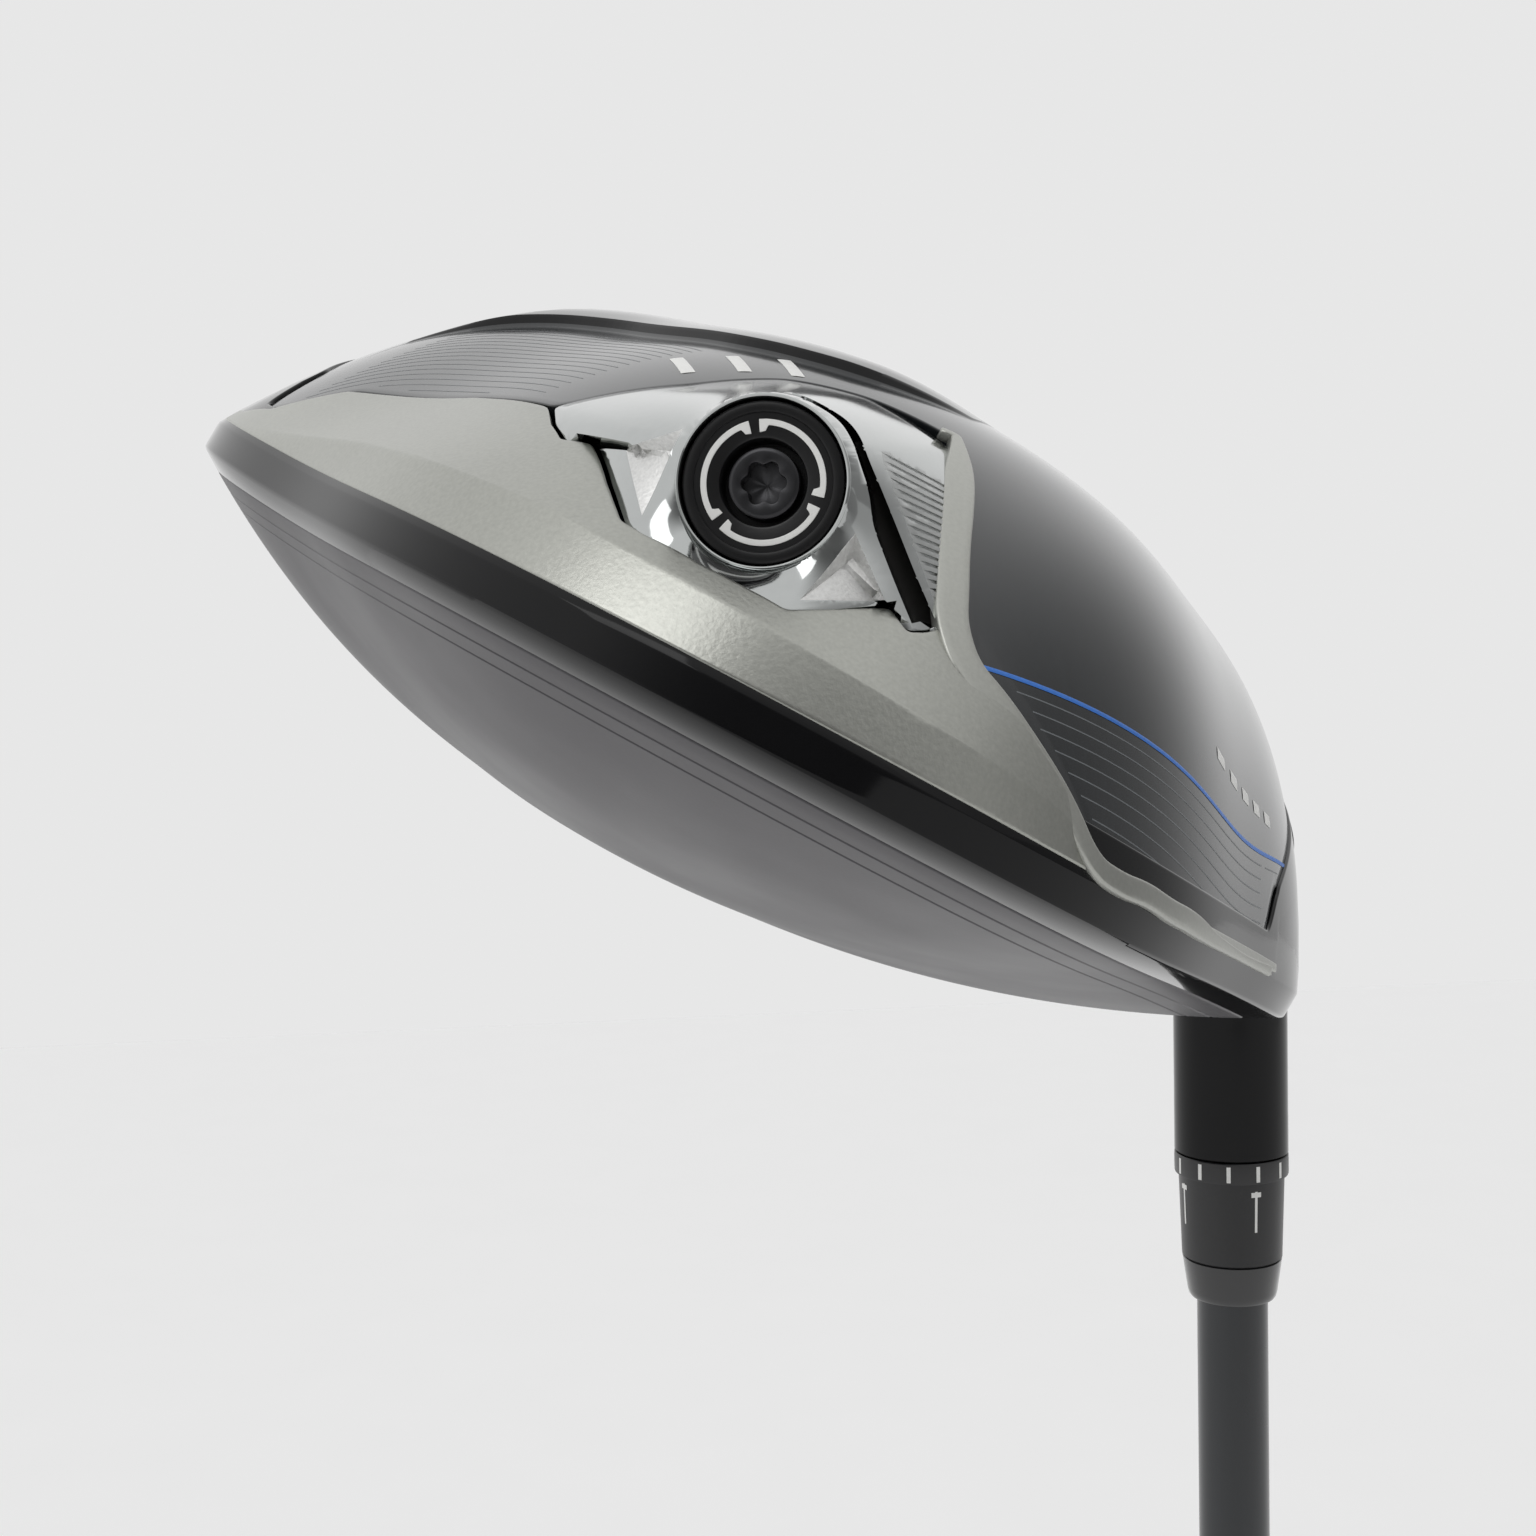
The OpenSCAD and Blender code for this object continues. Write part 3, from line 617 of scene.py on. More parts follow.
screw_steel = surface("screw_steel", (0.045, 0.045, 0.048), 0.30, metal=0.8, grain=1800, bump=0.15)
# Dark lacquer for the deep part of the housing's slot: painted shade in the recess.
slot_painted_shade = surface("slot_painted_shade", (0.02, 0.019, 0.018), 0.35, coat=0.5)
white_ink = surface("white_ink", (0.80, 0.80, 0.78), 0.45, grain=2000, spread=0.04)
blue_ink = surface("blue_ink", (0.03, 0.17, 0.60), 0.40, grain=2000, spread=0.08)
grey_ink = surface("grey_ink", (0.14, 0.15, 0.16), 0.35, grain=2000, spread=0.1)
face_carbon = woven("face_carbon", (0.030, 0.045, 0.085), 0.3, 0.0022)
sleeve_black = surface("sleeve_black", (0.014, 0.014, 0.015), 0.38, grain=2500, bump=0.12, coat=0.1)
ferrule_black = surface("ferrule_black", (0.012, 0.012, 0.013), 0.22, coat=0.6, bump=0.04)
graphite = surface("graphite", (0.008, 0.010, 0.013), 0.30, coat=0.4, coat_rough=0.05, grain=700,
                   spread=0.25, stretch=(1, 1, 0.04), bump=0.03)
grip_rubber = surface("grip_rubber", (0.022, 0.022, 0.024), 0.78, grain=1500, bump=1.0, spread=0.25)
bolt_steel = surface("bolt_steel", (0.09, 0.09, 0.095), 0.32, metal=0.9, grain=1500, bump=0.1)
plain_steel = surface("plain_steel", (0.45, 0.45, 0.46), 0.35, metal=1.0, grain=1500, bump=0.1)
plastic = surface("plastic", (0.03, 0.03, 0.03), 0.5, bump=0.05)
tape = surface("tape", (0.6, 0.57, 0.48), 0.85, grain=900, bump=0.5, spread=0.2)
brass = surface("brass", (0.6, 0.42, 0.16), 0.3, metal=1.0, grain=1400, bump=0.1)
seal_rubber = surface("seal_rubber", (0.015, 0.015, 0.015), 0.7, bump=0.2)

cad_looks = {
    "grip": grip_rubber, "grip_tape": tape, "shaft_tip_plug": tape, "hosel_bolt": bolt_steel,
    "bolt_washer": plain_steel, "bolt_retainer": plastic, "face_insert": face_carbon,
    "weight_insert": brass, "screw_retainer": seal_rubber,
}
for node, look in cad_looks.items():
    mesh = frame["nodes"][node].data
    mesh.materials.clear()
    mesh.materials.append(look)

# ---------------------------------------------------------------- crown
fine_a = np.arange(0, 360, 0.5)


def net_of(angles, s, lift=0.0):
    """Net of skin points. s is one row of profile positions, or one row for each angle."""
    s = np.broadcast_to(s, (len(angles), np.shape(s)[-1]))
    return skin(angles[:, None] + 0 * s, s, np.broadcast_to(lift, s.shape))


def crown_panel():
    """Crown with two engraved lines beside its edge."""
    plain = np.concatenate([np.linspace(0, 0.86, 44), [0.875]])
    grooves = []
    lifts = []
    for place in (0.885, 0.915):
        grooves += [place, place + 0.0015, place + 0.003, place + 0.0045]
        lifts += [0, -0.09, -0.09, 0]
    s = np.concatenate([plain, grooves, [0.93, CROWN_EDGE - 0.003]])
    lift = np.concatenate([np.zeros(len(plain)), lifts, [0, 0]])
    net = net_of(fine_a, s, lift)
    points, faces = rolled(*grid_patch(net, wrap=True), radius=0.2, depth=0.8)
    crown = add_piece("crown_shell", points, faces, HEAD, "head", [crown_paint, gloss_black],
                      ["crown_panel"], "crown_carbon")
    to_head = HEAD.inverted()
    for face in crown.data.polygons:
        place = np.array(to_head @ face.center)
        if neck_distance(place[None])[0] < 1.5:
            face.material_index = 1


# ---------------------------------------------------------------- casting
def lobe_edge(u, power):
    """Half height of a rounded rectangle at u, which runs from -1 to 1."""
    return (1 - np.clip(np.abs(u), 0, 1) ** power) ** (1 / power)


def face_edges(a):
    half = 0.4 * lobe_edge((a - 90) / 47, 5)
    return 1.5 - half, 1.5 + half


def slot_edges(a):
    half = 0.032 * lobe_edge((a - 90) / 30, 4)
    return 2.115 - half, 2.115 + half


def front_rise(a, s):
    """The black front of the sole stands proud of the carbon panel."""
    return 1.9 * smooth((a - 18) / 30) * smooth((163 - a) / 30) * smooth((s - 2.02) / 0.08)


RING_FROM = 173
RING_TO = 337


def panel_edge(a):
    """Profile position of the casting's inner edge round the front of the sole."""
    heel = smooth(1 - np.abs(a - 36) / 42)
    side = mix(0.93, 0.8, smooth((180 - a) / 40))
    share = np.where(a > RING_FROM, 0.93, mix(side, 0.52, heel))
    back = mix(0.93, 0.8, (a - RING_TO) / (360 - RING_TO))
    return 3 - np.where(a > RING_TO, back, share)


def body_casting():
    a = fine_a
    under_ring = (a > RING_FROM) & (a < RING_TO)
    top, low = face_edges(a)
    slot_top, slot_low = slot_edges(a)
    covered = smooth((a - RING_FROM + 1) / 6) * smooth((RING_TO + 1 - a) / 6)
    end = mix(panel_edge(a), 2.03, covered)
    beside = (np.abs(a - 90) > 31) & ~under_ring
    middle = np.minimum(slot_low, 2 + 0.6 * (end - 2))
    slot_top = np.where(under_ring, 2.01, np.where(beside, middle, slot_top))
    slot_low = np.where(under_ring, 2.01, np.where(beside, middle, slot_low))
    bands = [
        (np.full_like(a, CROWN_EDGE + 0.003), top, 16),
        (low, slot_top, 16),
        (slot_low, end, 22),
    ]
    s = np.concatenate([
        mix(b0[:, None], b1[:, None], np.linspace(0, 1, n)[None, :]) for b0, b1, n in bands
    ], 1)
    lift = front_rise(a[:, None], s)
    net = skin(a[:, None] + 0 * s, s, lift)
    gaps = [
        (15, (top < 1.499)),
        (31, (slot_low - slot_top > 1e-4)),
    ]
    shell = rolled(*grid_patch(net, True, gaps), radius=0.22, depth=1.4)
    add_piece("body_shell", *joined(shell, neck()), HEAD, "head", gloss_black,
              ["body_casting"], "casting_black")


def neck_top(x):
    """Height at which the hosel's sloping end cuts it, at x millimetres from the shaft's axis."""
    return np.minimum(CLUB_LEN - 7.3 - 2.0 * (x + 0.34), CLUB_LEN - 8.5)


def neck():
    """Hosel, with its fairing into the head, its bore and the bolt's well."""
    to_head = np.array(HEAD.inverted())
    turn = np.linspace(0, 2 * np.pi, 144, endpoint=False)
    share = np.concatenate([np.linspace(0.004, 0.1, 4), np.linspace(0.12, 1, 64)])
    net = np.empty((len(turn), len(share), 3))
    for i, t in enumerate(turn):
        top = neck_top(8 * math.cos(t))
        for j, q in enumerate(share):
            z = HOSEL_END + (top - HOSEL_END) * q
            r0 = float(neck_radius(CLUB_LEN - z))
            r = r0
            if q > 0.12:
                for _ in range(8):
                    p = to_head @ np.array([r * math.cos(t) * MM, r * math.sin(t) * MM, z * MM, 1])
                    f = float(soft_min(head_distance(p[:3]), r - r0, NECK_BLEND))
                    r = min(max(r - 0.7 * f, r0), r0 + 9)
            net[i, j] = (r * math.cos(t), r * math.sin(t), z)
    for _ in range(3):
        net[:, 5:-1] = 0.5 * net[:, 5:-1] + 0.25 * (
            np.roll(net, 1, 0)[:, 5:-1] + np.roll(net, -1, 0)[:, 5:-1])
    well_z = HOSEL_END + 34
    foot = [(5.2, 31.8), (5.2, 6), (6.1, 6), (6.1, 0), (HOSEL_R - 0.3, 0), (HOSEL_R - 0.12, 0.06)]
    foot = [(r + 0 * turn, HOSEL_END + z + 0 * turn) for r, z in foot]
    out_r = np.hypot(net[:, -1, 0], net[:, -1, 1])
    head = []
    for inset, drop in ((0.25, -0.2), (0.6, -0.3)):
        r = out_r - inset
        head.append((r, net[:, -1, 2] - drop))
    for r, drop in ((WELL_R + 0.5, 0.0), (WELL_R + 0.1, 0.1), (WELL_R, 0.4)):
        head.append((r + 0 * turn, neck_top(r * np.cos(turn)) - drop))
    for r, z in ((WELL_R, well_z), (3.0, well_z), (3.0, well_z - 2.2)):
        head.append((r + 0 * turn, z + 0 * turn))
    def rings(part):
        return [np.stack([np.cos(turn) * r, np.sin(turn) * r, z], -1)[:, None] for r, z in part]
    full = np.concatenate(rings(foot) + [net] + rings(head), 1)
    points, faces = grid_patch(full, True)
    return (points * MM) @ to_head[:3, :3].T + to_head[:3, 3], faces


def face_cover():
    u = -np.cos(np.linspace(0, np.pi, 240)) * 0.985
    a = 90 + 47 * u
    top, low = face_edges(90 + 47 * u / 0.985)
    rows = np.linspace(0.02, 0.98, 40)
    s = mix(top[:, None], low[:, None], rows[None, :])
    net = skin(a[:, None] + 0 * s, s, -0.05)
    points, faces = rolled(*grid_patch(net), radius=0.2, depth=0.5)
    add_piece("face_skin", points, faces, HEAD, "head", face_carbon, ["face_cover"], "face_film")
    lines = []
    for k in np.linspace(0.2, 0.8, 7):
        for start, stop in ((-0.78, -0.42), (0.42, 0.78)):
            b = 90 + 47 * np.linspace(start, stop, 30)
            edge_top, edge_low = face_edges(b)
            centre = mix(edge_top, edge_low, k)
            strip = skin(b[:, None] + 0 * centre[:, None], centre[:, None] + np.array([[-0.006, 0.006]]), 0.0)
            lines.append(grid_patch(strip))
    add_piece("face_lines", *joined(*lines), HEAD, "head", white_ink, slot="face_film")


def slot_insert():
    u = -np.cos(np.linspace(0, np.pi, 120)) * 0.98
    a = 90 + 30 * u
    top, low = slot_edges(90 + 30 * u / 0.98)
    rows = np.linspace(0.04, 0.96, 8)
    s = mix(top[:, None], low[:, None], rows[None, :])
    net = skin(a[:, None] + 0 * s, s, front_rise(a[:, None], s) - 0.35)
    points, faces = rolled(*grid_patch(net), radius=0.15, depth=0.8)
    add_piece("slot_filler", points, faces, HEAD, "head", seal_rubber, ["slot_insert"], "slot_rubber")


# ---------------------------------------------------------------- outlines on the sole
# Outline of the weight housing, seen from above, from its toe corner over the front to the
# heel and back along the rear.
HOUSING_FRONT = [(-80.7, -70.6), (-72.4, -71.4), (-65.7, -69.4), (-58.9, -69.9), (-51.0, -74.9)]
HOUSING_BACK = [(-50.0, -81.8), (-49.2, -86.0), (-48.0, -90.9), (-47.7, -93.2), (-48.8, -94.4),
                (-50.3, -95.2), (-51.4, -94.6), (-52.0, -94.2), (-55.4, -95.9), (-58.5, -97.1),
                (-61.7, -96.1), (-64.8, -94.9), (-69.2, -92.4), (-71.1, -90.9), (-72.3, -88.7),
                (-73.5, -86.3), (-74.8, -83.3), (-76.1, -80.3), (-78.3, -78.4), (-79.8, -74.6)]
# Sole panel's edge beside the ring
PANEL_TOE = [(-107.8, -30), (-104.7, -35.9), (-98.6, -41.8), (-93.6, -49.3), (-87.0, -59.4),
             (-80.7, -70.6)]
PANEL_HEEL = [(-51.0, -72.5), (-49.3, -78.3), (-48.0, -87.4), (-46.4, -92.6), (-44.6, -94.3),
              (-38.1, -94.9), (-30.1, -94.6), (-27.1, -92.5), (-20.9, -86.7), (-13.0, -77.5),
              (-6.8, -69.1), (-0.9, -60.7), (5.0, -50.5)]
HOUSING_GAP_AT = HOUSING_BACK.index((-47.7, -93.2))


def edge_rows(path, a_grid):
    """Profile position at which a path on the sole crosses each column."""
    a, s = place_on_sole(resampled(path, 0.15))
    order = np.argsort(a)
    return np.interp(a_grid, a[order], s[order])


# Step across the sole: the front of the panel stands proud of the rear along this line
STEP = [(-112, -22), (-104, -25.5), (-97, -28), (-90.5, -32.5), (-85.5, -36.5), (-80.5, -42), (-76, -49.5),
        (-70, -58.5), (-65, -62.5), (-60.8, -64), (-56.5, -64), (-51.7, -62.5), (-46, -60.5),
        (-36, -57)]
STEP_RISE = 1.0


def step_fade(a):
    """Share of the step's full height in each column, dying out towards the toe and the heel."""
    turns, _ = place_on_sole(np.array(STEP))
    toe, heel = turns[1], turns[-2]
    return smooth((a - toe) / 12) * smooth((heel - a) / 22)


def sole_panel():
    a = np.arange(0, 360, 0.25)
    ringed = rounded_line(PANEL_TOE + HOUSING_FRONT[1:-1] + [(-51.4, -72.0)] + PANEL_HEEL[1:-1], 1.2)
    back = edge_rows(ringed, a)
    front = panel_edge(a)
    start, stop = 174.0, 329.0
    ease = smooth((a - start) / 5) * smooth((stop + 8 - a) / 8)
    edge = mix(front, np.where((a > start - 1) & (a < stop + 9), back, front), ease) + 0.004
    fade = step_fade(a)
    line = mix(2.55, edge_rows(rounded_line(STEP, 3.0, 6), a), smooth(fade / 0.15))
    line = np.maximum(line, edge + 0.03)
    inner = np.linspace(0, 1, 30)
    outer = np.linspace(0, 1, 34)[1:]
    s = np.concatenate([
        mix(3, line[:, None] + 0.016, inner[None, :]),
        line[:, None] + np.array([0.012, 0.008, 0.004, 0.0])[None, :],
        mix(line[:, None], edge[:, None], outer[None, :]),
    ], 1)
    dip = -0.25
    past = s - line[:, None]
    proud = smooth(past / 0.012) * (1 - smooth((past - 0.03) / 0.25))
    lift = dip + STEP_RISE * fade[:, None] * proud
    net = skin(a[:, None] + 0 * s, s, lift)
    black = (fade[:, None] > 0.02) & (past > 0.001) & (past < 0.25)
    cells = (black[:, :-1] & black[:, 1:])[:, ::-1]
    points, faces = grid_patch(net[:, ::-1], wrap=True)
    count = len(faces)
    points, faces = rolled(points, faces, radius=0.15, depth=0.9)
    piece = add_piece("sole_shell", points, faces, HEAD, "head", [sole_carbon, gloss_black],
                      ["sole_panel"], "sole_carbon")
    if len(piece.data.polygons) == len(faces) and count == cells.size:
        shown = np.zeros(len(faces), np.int32)
        shown[:count] = cells.ravel()
        piece.data.polygons.foreach_set("material_index", shown)
    sole_marks(dip)


def sole_marks(dip):
    """Blue line, fine engraved hatching and plain white marks on the sole panel."""
    line = smooth_line([(-44.9, -94.2), (-34.4, -89.0), (-21.9, -78.7), (-10.5, -65.1),
                        (0.7, -49.2), (5, -42)])
    blue = ribbon(line, -0.2, 0.2, dip + 0.03, 0.03)
    add_piece("sole_line", *blue, HEAD, "head", blue_ink, slot="sole_carbon")
    hatch = []
    for k in range(34):
        d = 0.8 * (k + 1)
        path = line[::2] + np.array([0.42 * d, -0.9 * d])
        hatch += [ribbon(run, -0.06, 0.06, dip + 0.012, rows=2) for run in runs_inside(path)]
    toe = smooth_line([(-104.5, -37.5), (-98.6, -42.6), (-93.0, -49.0), (-87.0, -58.5), (-83, -66)])
    for k in range(16):
        path = toe[::2] + np.array([0.75, 0.42]) * 0.9 * (k + 0.5)
        hatch += [ribbon(run, -0.06, 0.06, dip + 0.012, rows=2) for run in runs_inside(path)]
    add_piece("sole_hatch", *joined(*hatch), HEAD, "head", grey_ink, slot="sole_carbon")
    marks = []
    for x0 in (-74.3, -70.3, -66.3):
        bar = resampled([(x0, -62.5), (x0 + 1.5, -68.0)], 0.4)
        marks.append(ribbon(bar, -0.6, 0.6, dip + 0.02, 0.02))
    word = smooth_line([(-18.8, -70.2), (-15.7, -67.2), (-13.0, -64.2), (-8.5, -58.5), (-1.5, -49.3)], 0.3)
    for k in range(5):
        marks.append(ribbon(word[6 + 15 * k:15 + 15 * k], -0.6, 0.6, dip + 0.02, 0.02))
    add_piece("sole_marks", *joined(*marks), HEAD, "head", white_ink, slot="sole_carbon")


def runs_inside(path):
    """Longer stretches of a path that lie on the sole panel."""
    runs, run = [], []
    for q, ok in zip(path, inside_panel(path)):
        if ok:
            run.append(q)
        elif run:
            runs.append(run)
            run = []
    return [np.array(r) for r in runs + [run] if len(r) > 4]


def inside_panel(path):
    a, s = place_on_sole(np.asarray(path))
    ringed = PANEL_TOE + HOUSING_FRONT[1:-1] + [(-51.4, -72.0)] + PANEL_HEEL[1:-1]
    limit = np.where((a > 176) & (a < 330), edge_rows(ringed, a), panel_edge(a))
    return s > limit + 0.012


# ---------------------------------------------------------------- rear ring
CREASE = [(180, 0.4), (190, 1.1), (203, 2.4), (215, 3.5), (232, 4.5), (244, 4.8), (262, 4.1),
          (275, 3.4), (283, 2.8), (288, 1.4), (291, 0.5), (340, 0.5)]
CREASE_RISE = 1.25


def crease_lift(a, run):
    """Height of the ring's crease at run millimetres up from the ring's lower edge."""
    place = np.interp(a, *np.array(CREASE).T)
    rise = CREASE_RISE * smooth((a - 182) / 30) * smooth((291 - a) / 16)
    below = np.clip(run / place, 0, 1)
    above = np.clip(1 - (run - place) / 11, 0, 1)
    peak = np.minimum(below, above ** 1.4)
    return rise * peak


def rear_ring():
    a = np.arange(RING_FROM, RING_TO - 0.5, 0.2)
    inner_path = rounded_line(
        PANEL_TOE[:-1] + [(-80.9, -70.4)] + HOUSING_BACK[HOUSING_GAP_AT:][::-1] + PANEL_HEEL[3:-1], 0.5)
    inner = edge_rows(inner_path, a) - 0.004
    outer = 3 - RING_EDGE
    inner = np.maximum(inner, outer + 0.004)
    q = np.concatenate([np.linspace(0, 0.25, 14)[:-1], np.linspace(0.25, 0.6, 46)[:-1],
                        np.linspace(0.6, 1, 16)])
    s = mix(outer, inner[:, None], q[None, :])
    flat = skin(a[:, None] + 0 * s, s)
    steps = np.linalg.norm(np.diff(flat, axis=1), axis=2)
    run = np.concatenate([np.zeros((len(a), 1)), np.cumsum(steps, 1)], 1)
    lift = crease_lift(a[:, None], run)
    lift = 0.10 + lift
    net = skin(a[:, None] + 0 * s, s, lift)
    base = rolled(*grid_patch(net), radius=0.2, depth=1.2)
    add_piece("ring_shell", *base, HEAD, "head", ring_metal, ["rear_ring"], "ring_metal", sharp=50)
    rail = rounded_line([(-52.6, -72.6)] + PANEL_HEEL[:-1], 2.2, 6)
    rail = resampled(rail, 0.3)
    grow = smooth(np.linspace(0, 1, len(rail)) / 0.12)
    width = mix(0.4, 2.3, grow) - 0.9 * smooth((rail[:, 0] + 45) / 8)
    edge = rolled(*ribbon(rail, 0.25, 0.25 + width, 0.55, 0.0, rows=6), radius=0.25, depth=0.9)
    add_piece("ring_rail", *edge, HEAD, "head", rail_metal, slot="ring_metal", sharp=50)


# ---------------------------------------------------------------- weight housing
# The housing is drawn in the weight's frame: x towards the heel, y out of the sole and z
# outwards along the weight's axis.
RIM_R = 6.3
WEIGHT_CLEAR = 6.08
RIM_TOP = -0.5
# Sunk triangles beside the barrel: three corners, the deepest point and its depth
POCKETS = [
    ((-10.9, 3.4), (-5.9, 4.2), (-8.75, -2.1), (-7.0, 2.8), 1.3),
    ((6.5, -3.8), (2.8, -8.6), (8.5, -8.5), (6.2, -5.4), 1.2),
]
SLOT_IN = [(0.9, 7.1), (3.1, 5.95), (5.15, 4.75), (6.2, 3.0), (6.8, 1.1), (7.4, -0.8),
           (7.6, -3.1), (8.9, -6.6), (10.35, -10.3)]
SLOT_OUT = [(1.3, 7.3), (3.5, 6.25), (5.6, 5.0), (6.65, 3.55), (7.3, 1.7), (7.95, 0.1),
            (8.75, -2.0), (10.35, -6.2), (12.1, -10.4)]
RIB_COUNT = 18
RIB_LEFT = ((7.9, 2.75), (12.05, -9.4))
RIB_RIGHT = ((13.5, 1.0), (12.8, -9.4))
TO_WEIGHT = np.array(WEIGHT.inverted() @ HEAD)


def in_polygon(p, polygon):
    x, y = p[:, 0], p[:, 1]
    inside = np.zeros(len(p), bool)
    q = np.asarray(polygon)
    for a, b in zip(q, np.roll(q, -1, 0)):
        cross = (a[1] > y) != (b[1] > y)
        at = a[0] + (y - a[1]) * (b[0] - a[0]) / (b[1] - a[1] if b[1] != a[1] else 1e-9)
        inside ^= cross & (x < at)
    return inside


def rib_place(p):
    """Number of the rib line on which each point lies, and its place along it, 0 to 1."""
    n = np.linspace(-0.5, RIB_COUNT + 0.5, 400)
    q = (n / RIB_COUNT)[:, None]
    left = mix(np.array(RIB_LEFT[0]), np.array(RIB_LEFT[1]), q)
    right = mix(np.array(RIB_RIGHT[0]), np.array(RIB_RIGHT[1]), q)
    run = right - left
    d = p[:, None, :] - left[None]
    side = run[None, :, 0] * d[..., 1] - run[None, :, 1] * d[..., 0]
    best = np.argmin(np.abs(side), 1)
    k = np.arange(len(p))
    other = np.clip(best + np.where(side[k, best] > 0, 1, -1), 0, len(n) - 1)
    change = side[k, best] - side[k, other]
    t = np.clip(side[k, best] / np.where(np.abs(change) < 1e-9, 1e-9, change), 0, 1)
    number = mix(n[best], n[other], t)
    along = np.sum(d[k, best] * run[best], 1) / np.sum(run[best] ** 2, 1)
    return number, along


def tent(p, pocket):
    """Depth of a sunk triangle, 0 at its sides and full at its deepest point."""
    a, b, c, low = (np.array(q) for q in pocket[:4])
    depth = np.zeros(len(p))
    for u, v in ((a, b), (b, c), (c, a)):
        e0, e1, e2 = v - u, low - u, p - u
        det = e0[0] * e1[1] - e0[1] * e1[0]
        s = (e2[:, 0] * e1[1] - e2[:, 1] * e1[0]) / det
        t = (e0[0] * e2[:, 1] - e0[1] * e2[:, 0]) / det
        hit = (s > -1e-6) & (t > -1e-6) & (s + t < 1 + 1e-6)
        depth = np.where(hit, np.maximum(depth, t), depth)
    return depth * pocket[4]


def slot_lines(inset):
    """The slot's two sides, moved towards each other by inset."""
    t = np.linspace(0, 1, 90)
    sides = []
    for side in (SLOT_IN, SLOT_OUT):
        line = resampled(rounded_line(side, 1.2), 0.05)
        at = np.linspace(0, 1, len(line))
        sides.append(np.stack([np.interp(t, at, line[:, k]) for k in (0, 1)], -1))
    inner, outer = sides
    across = outer - inner
    width = np.linalg.norm(across, axis=1, keepdims=True)
    move = across / width * np.minimum(inset, width * 0.3)
    cut = slice(2, -2) if inset else slice(None)
    return (inner + move)[cut], (outer - move)[cut], t


def slot_share(p):
    """1 for points on the slot's floor and 0 elsewhere, and the place along the slot."""
    inner, outer, t = slot_lines(0.12)
    inside = in_polygon(p, np.concatenate([inner, outer[::-1]]))
    middle = 0.5 * (inner + outer)
    along = np.argmin(np.linalg.norm(p[:, None] - middle[None], axis=2), 1) / (len(middle) - 1)
    edge = np.concatenate([inner, outer[::-1]])
    far = np.min(np.linalg.norm(p[:, None] - edge[None], axis=2), 1)
    return (inside | (far < 1e-3)).astype(float), along


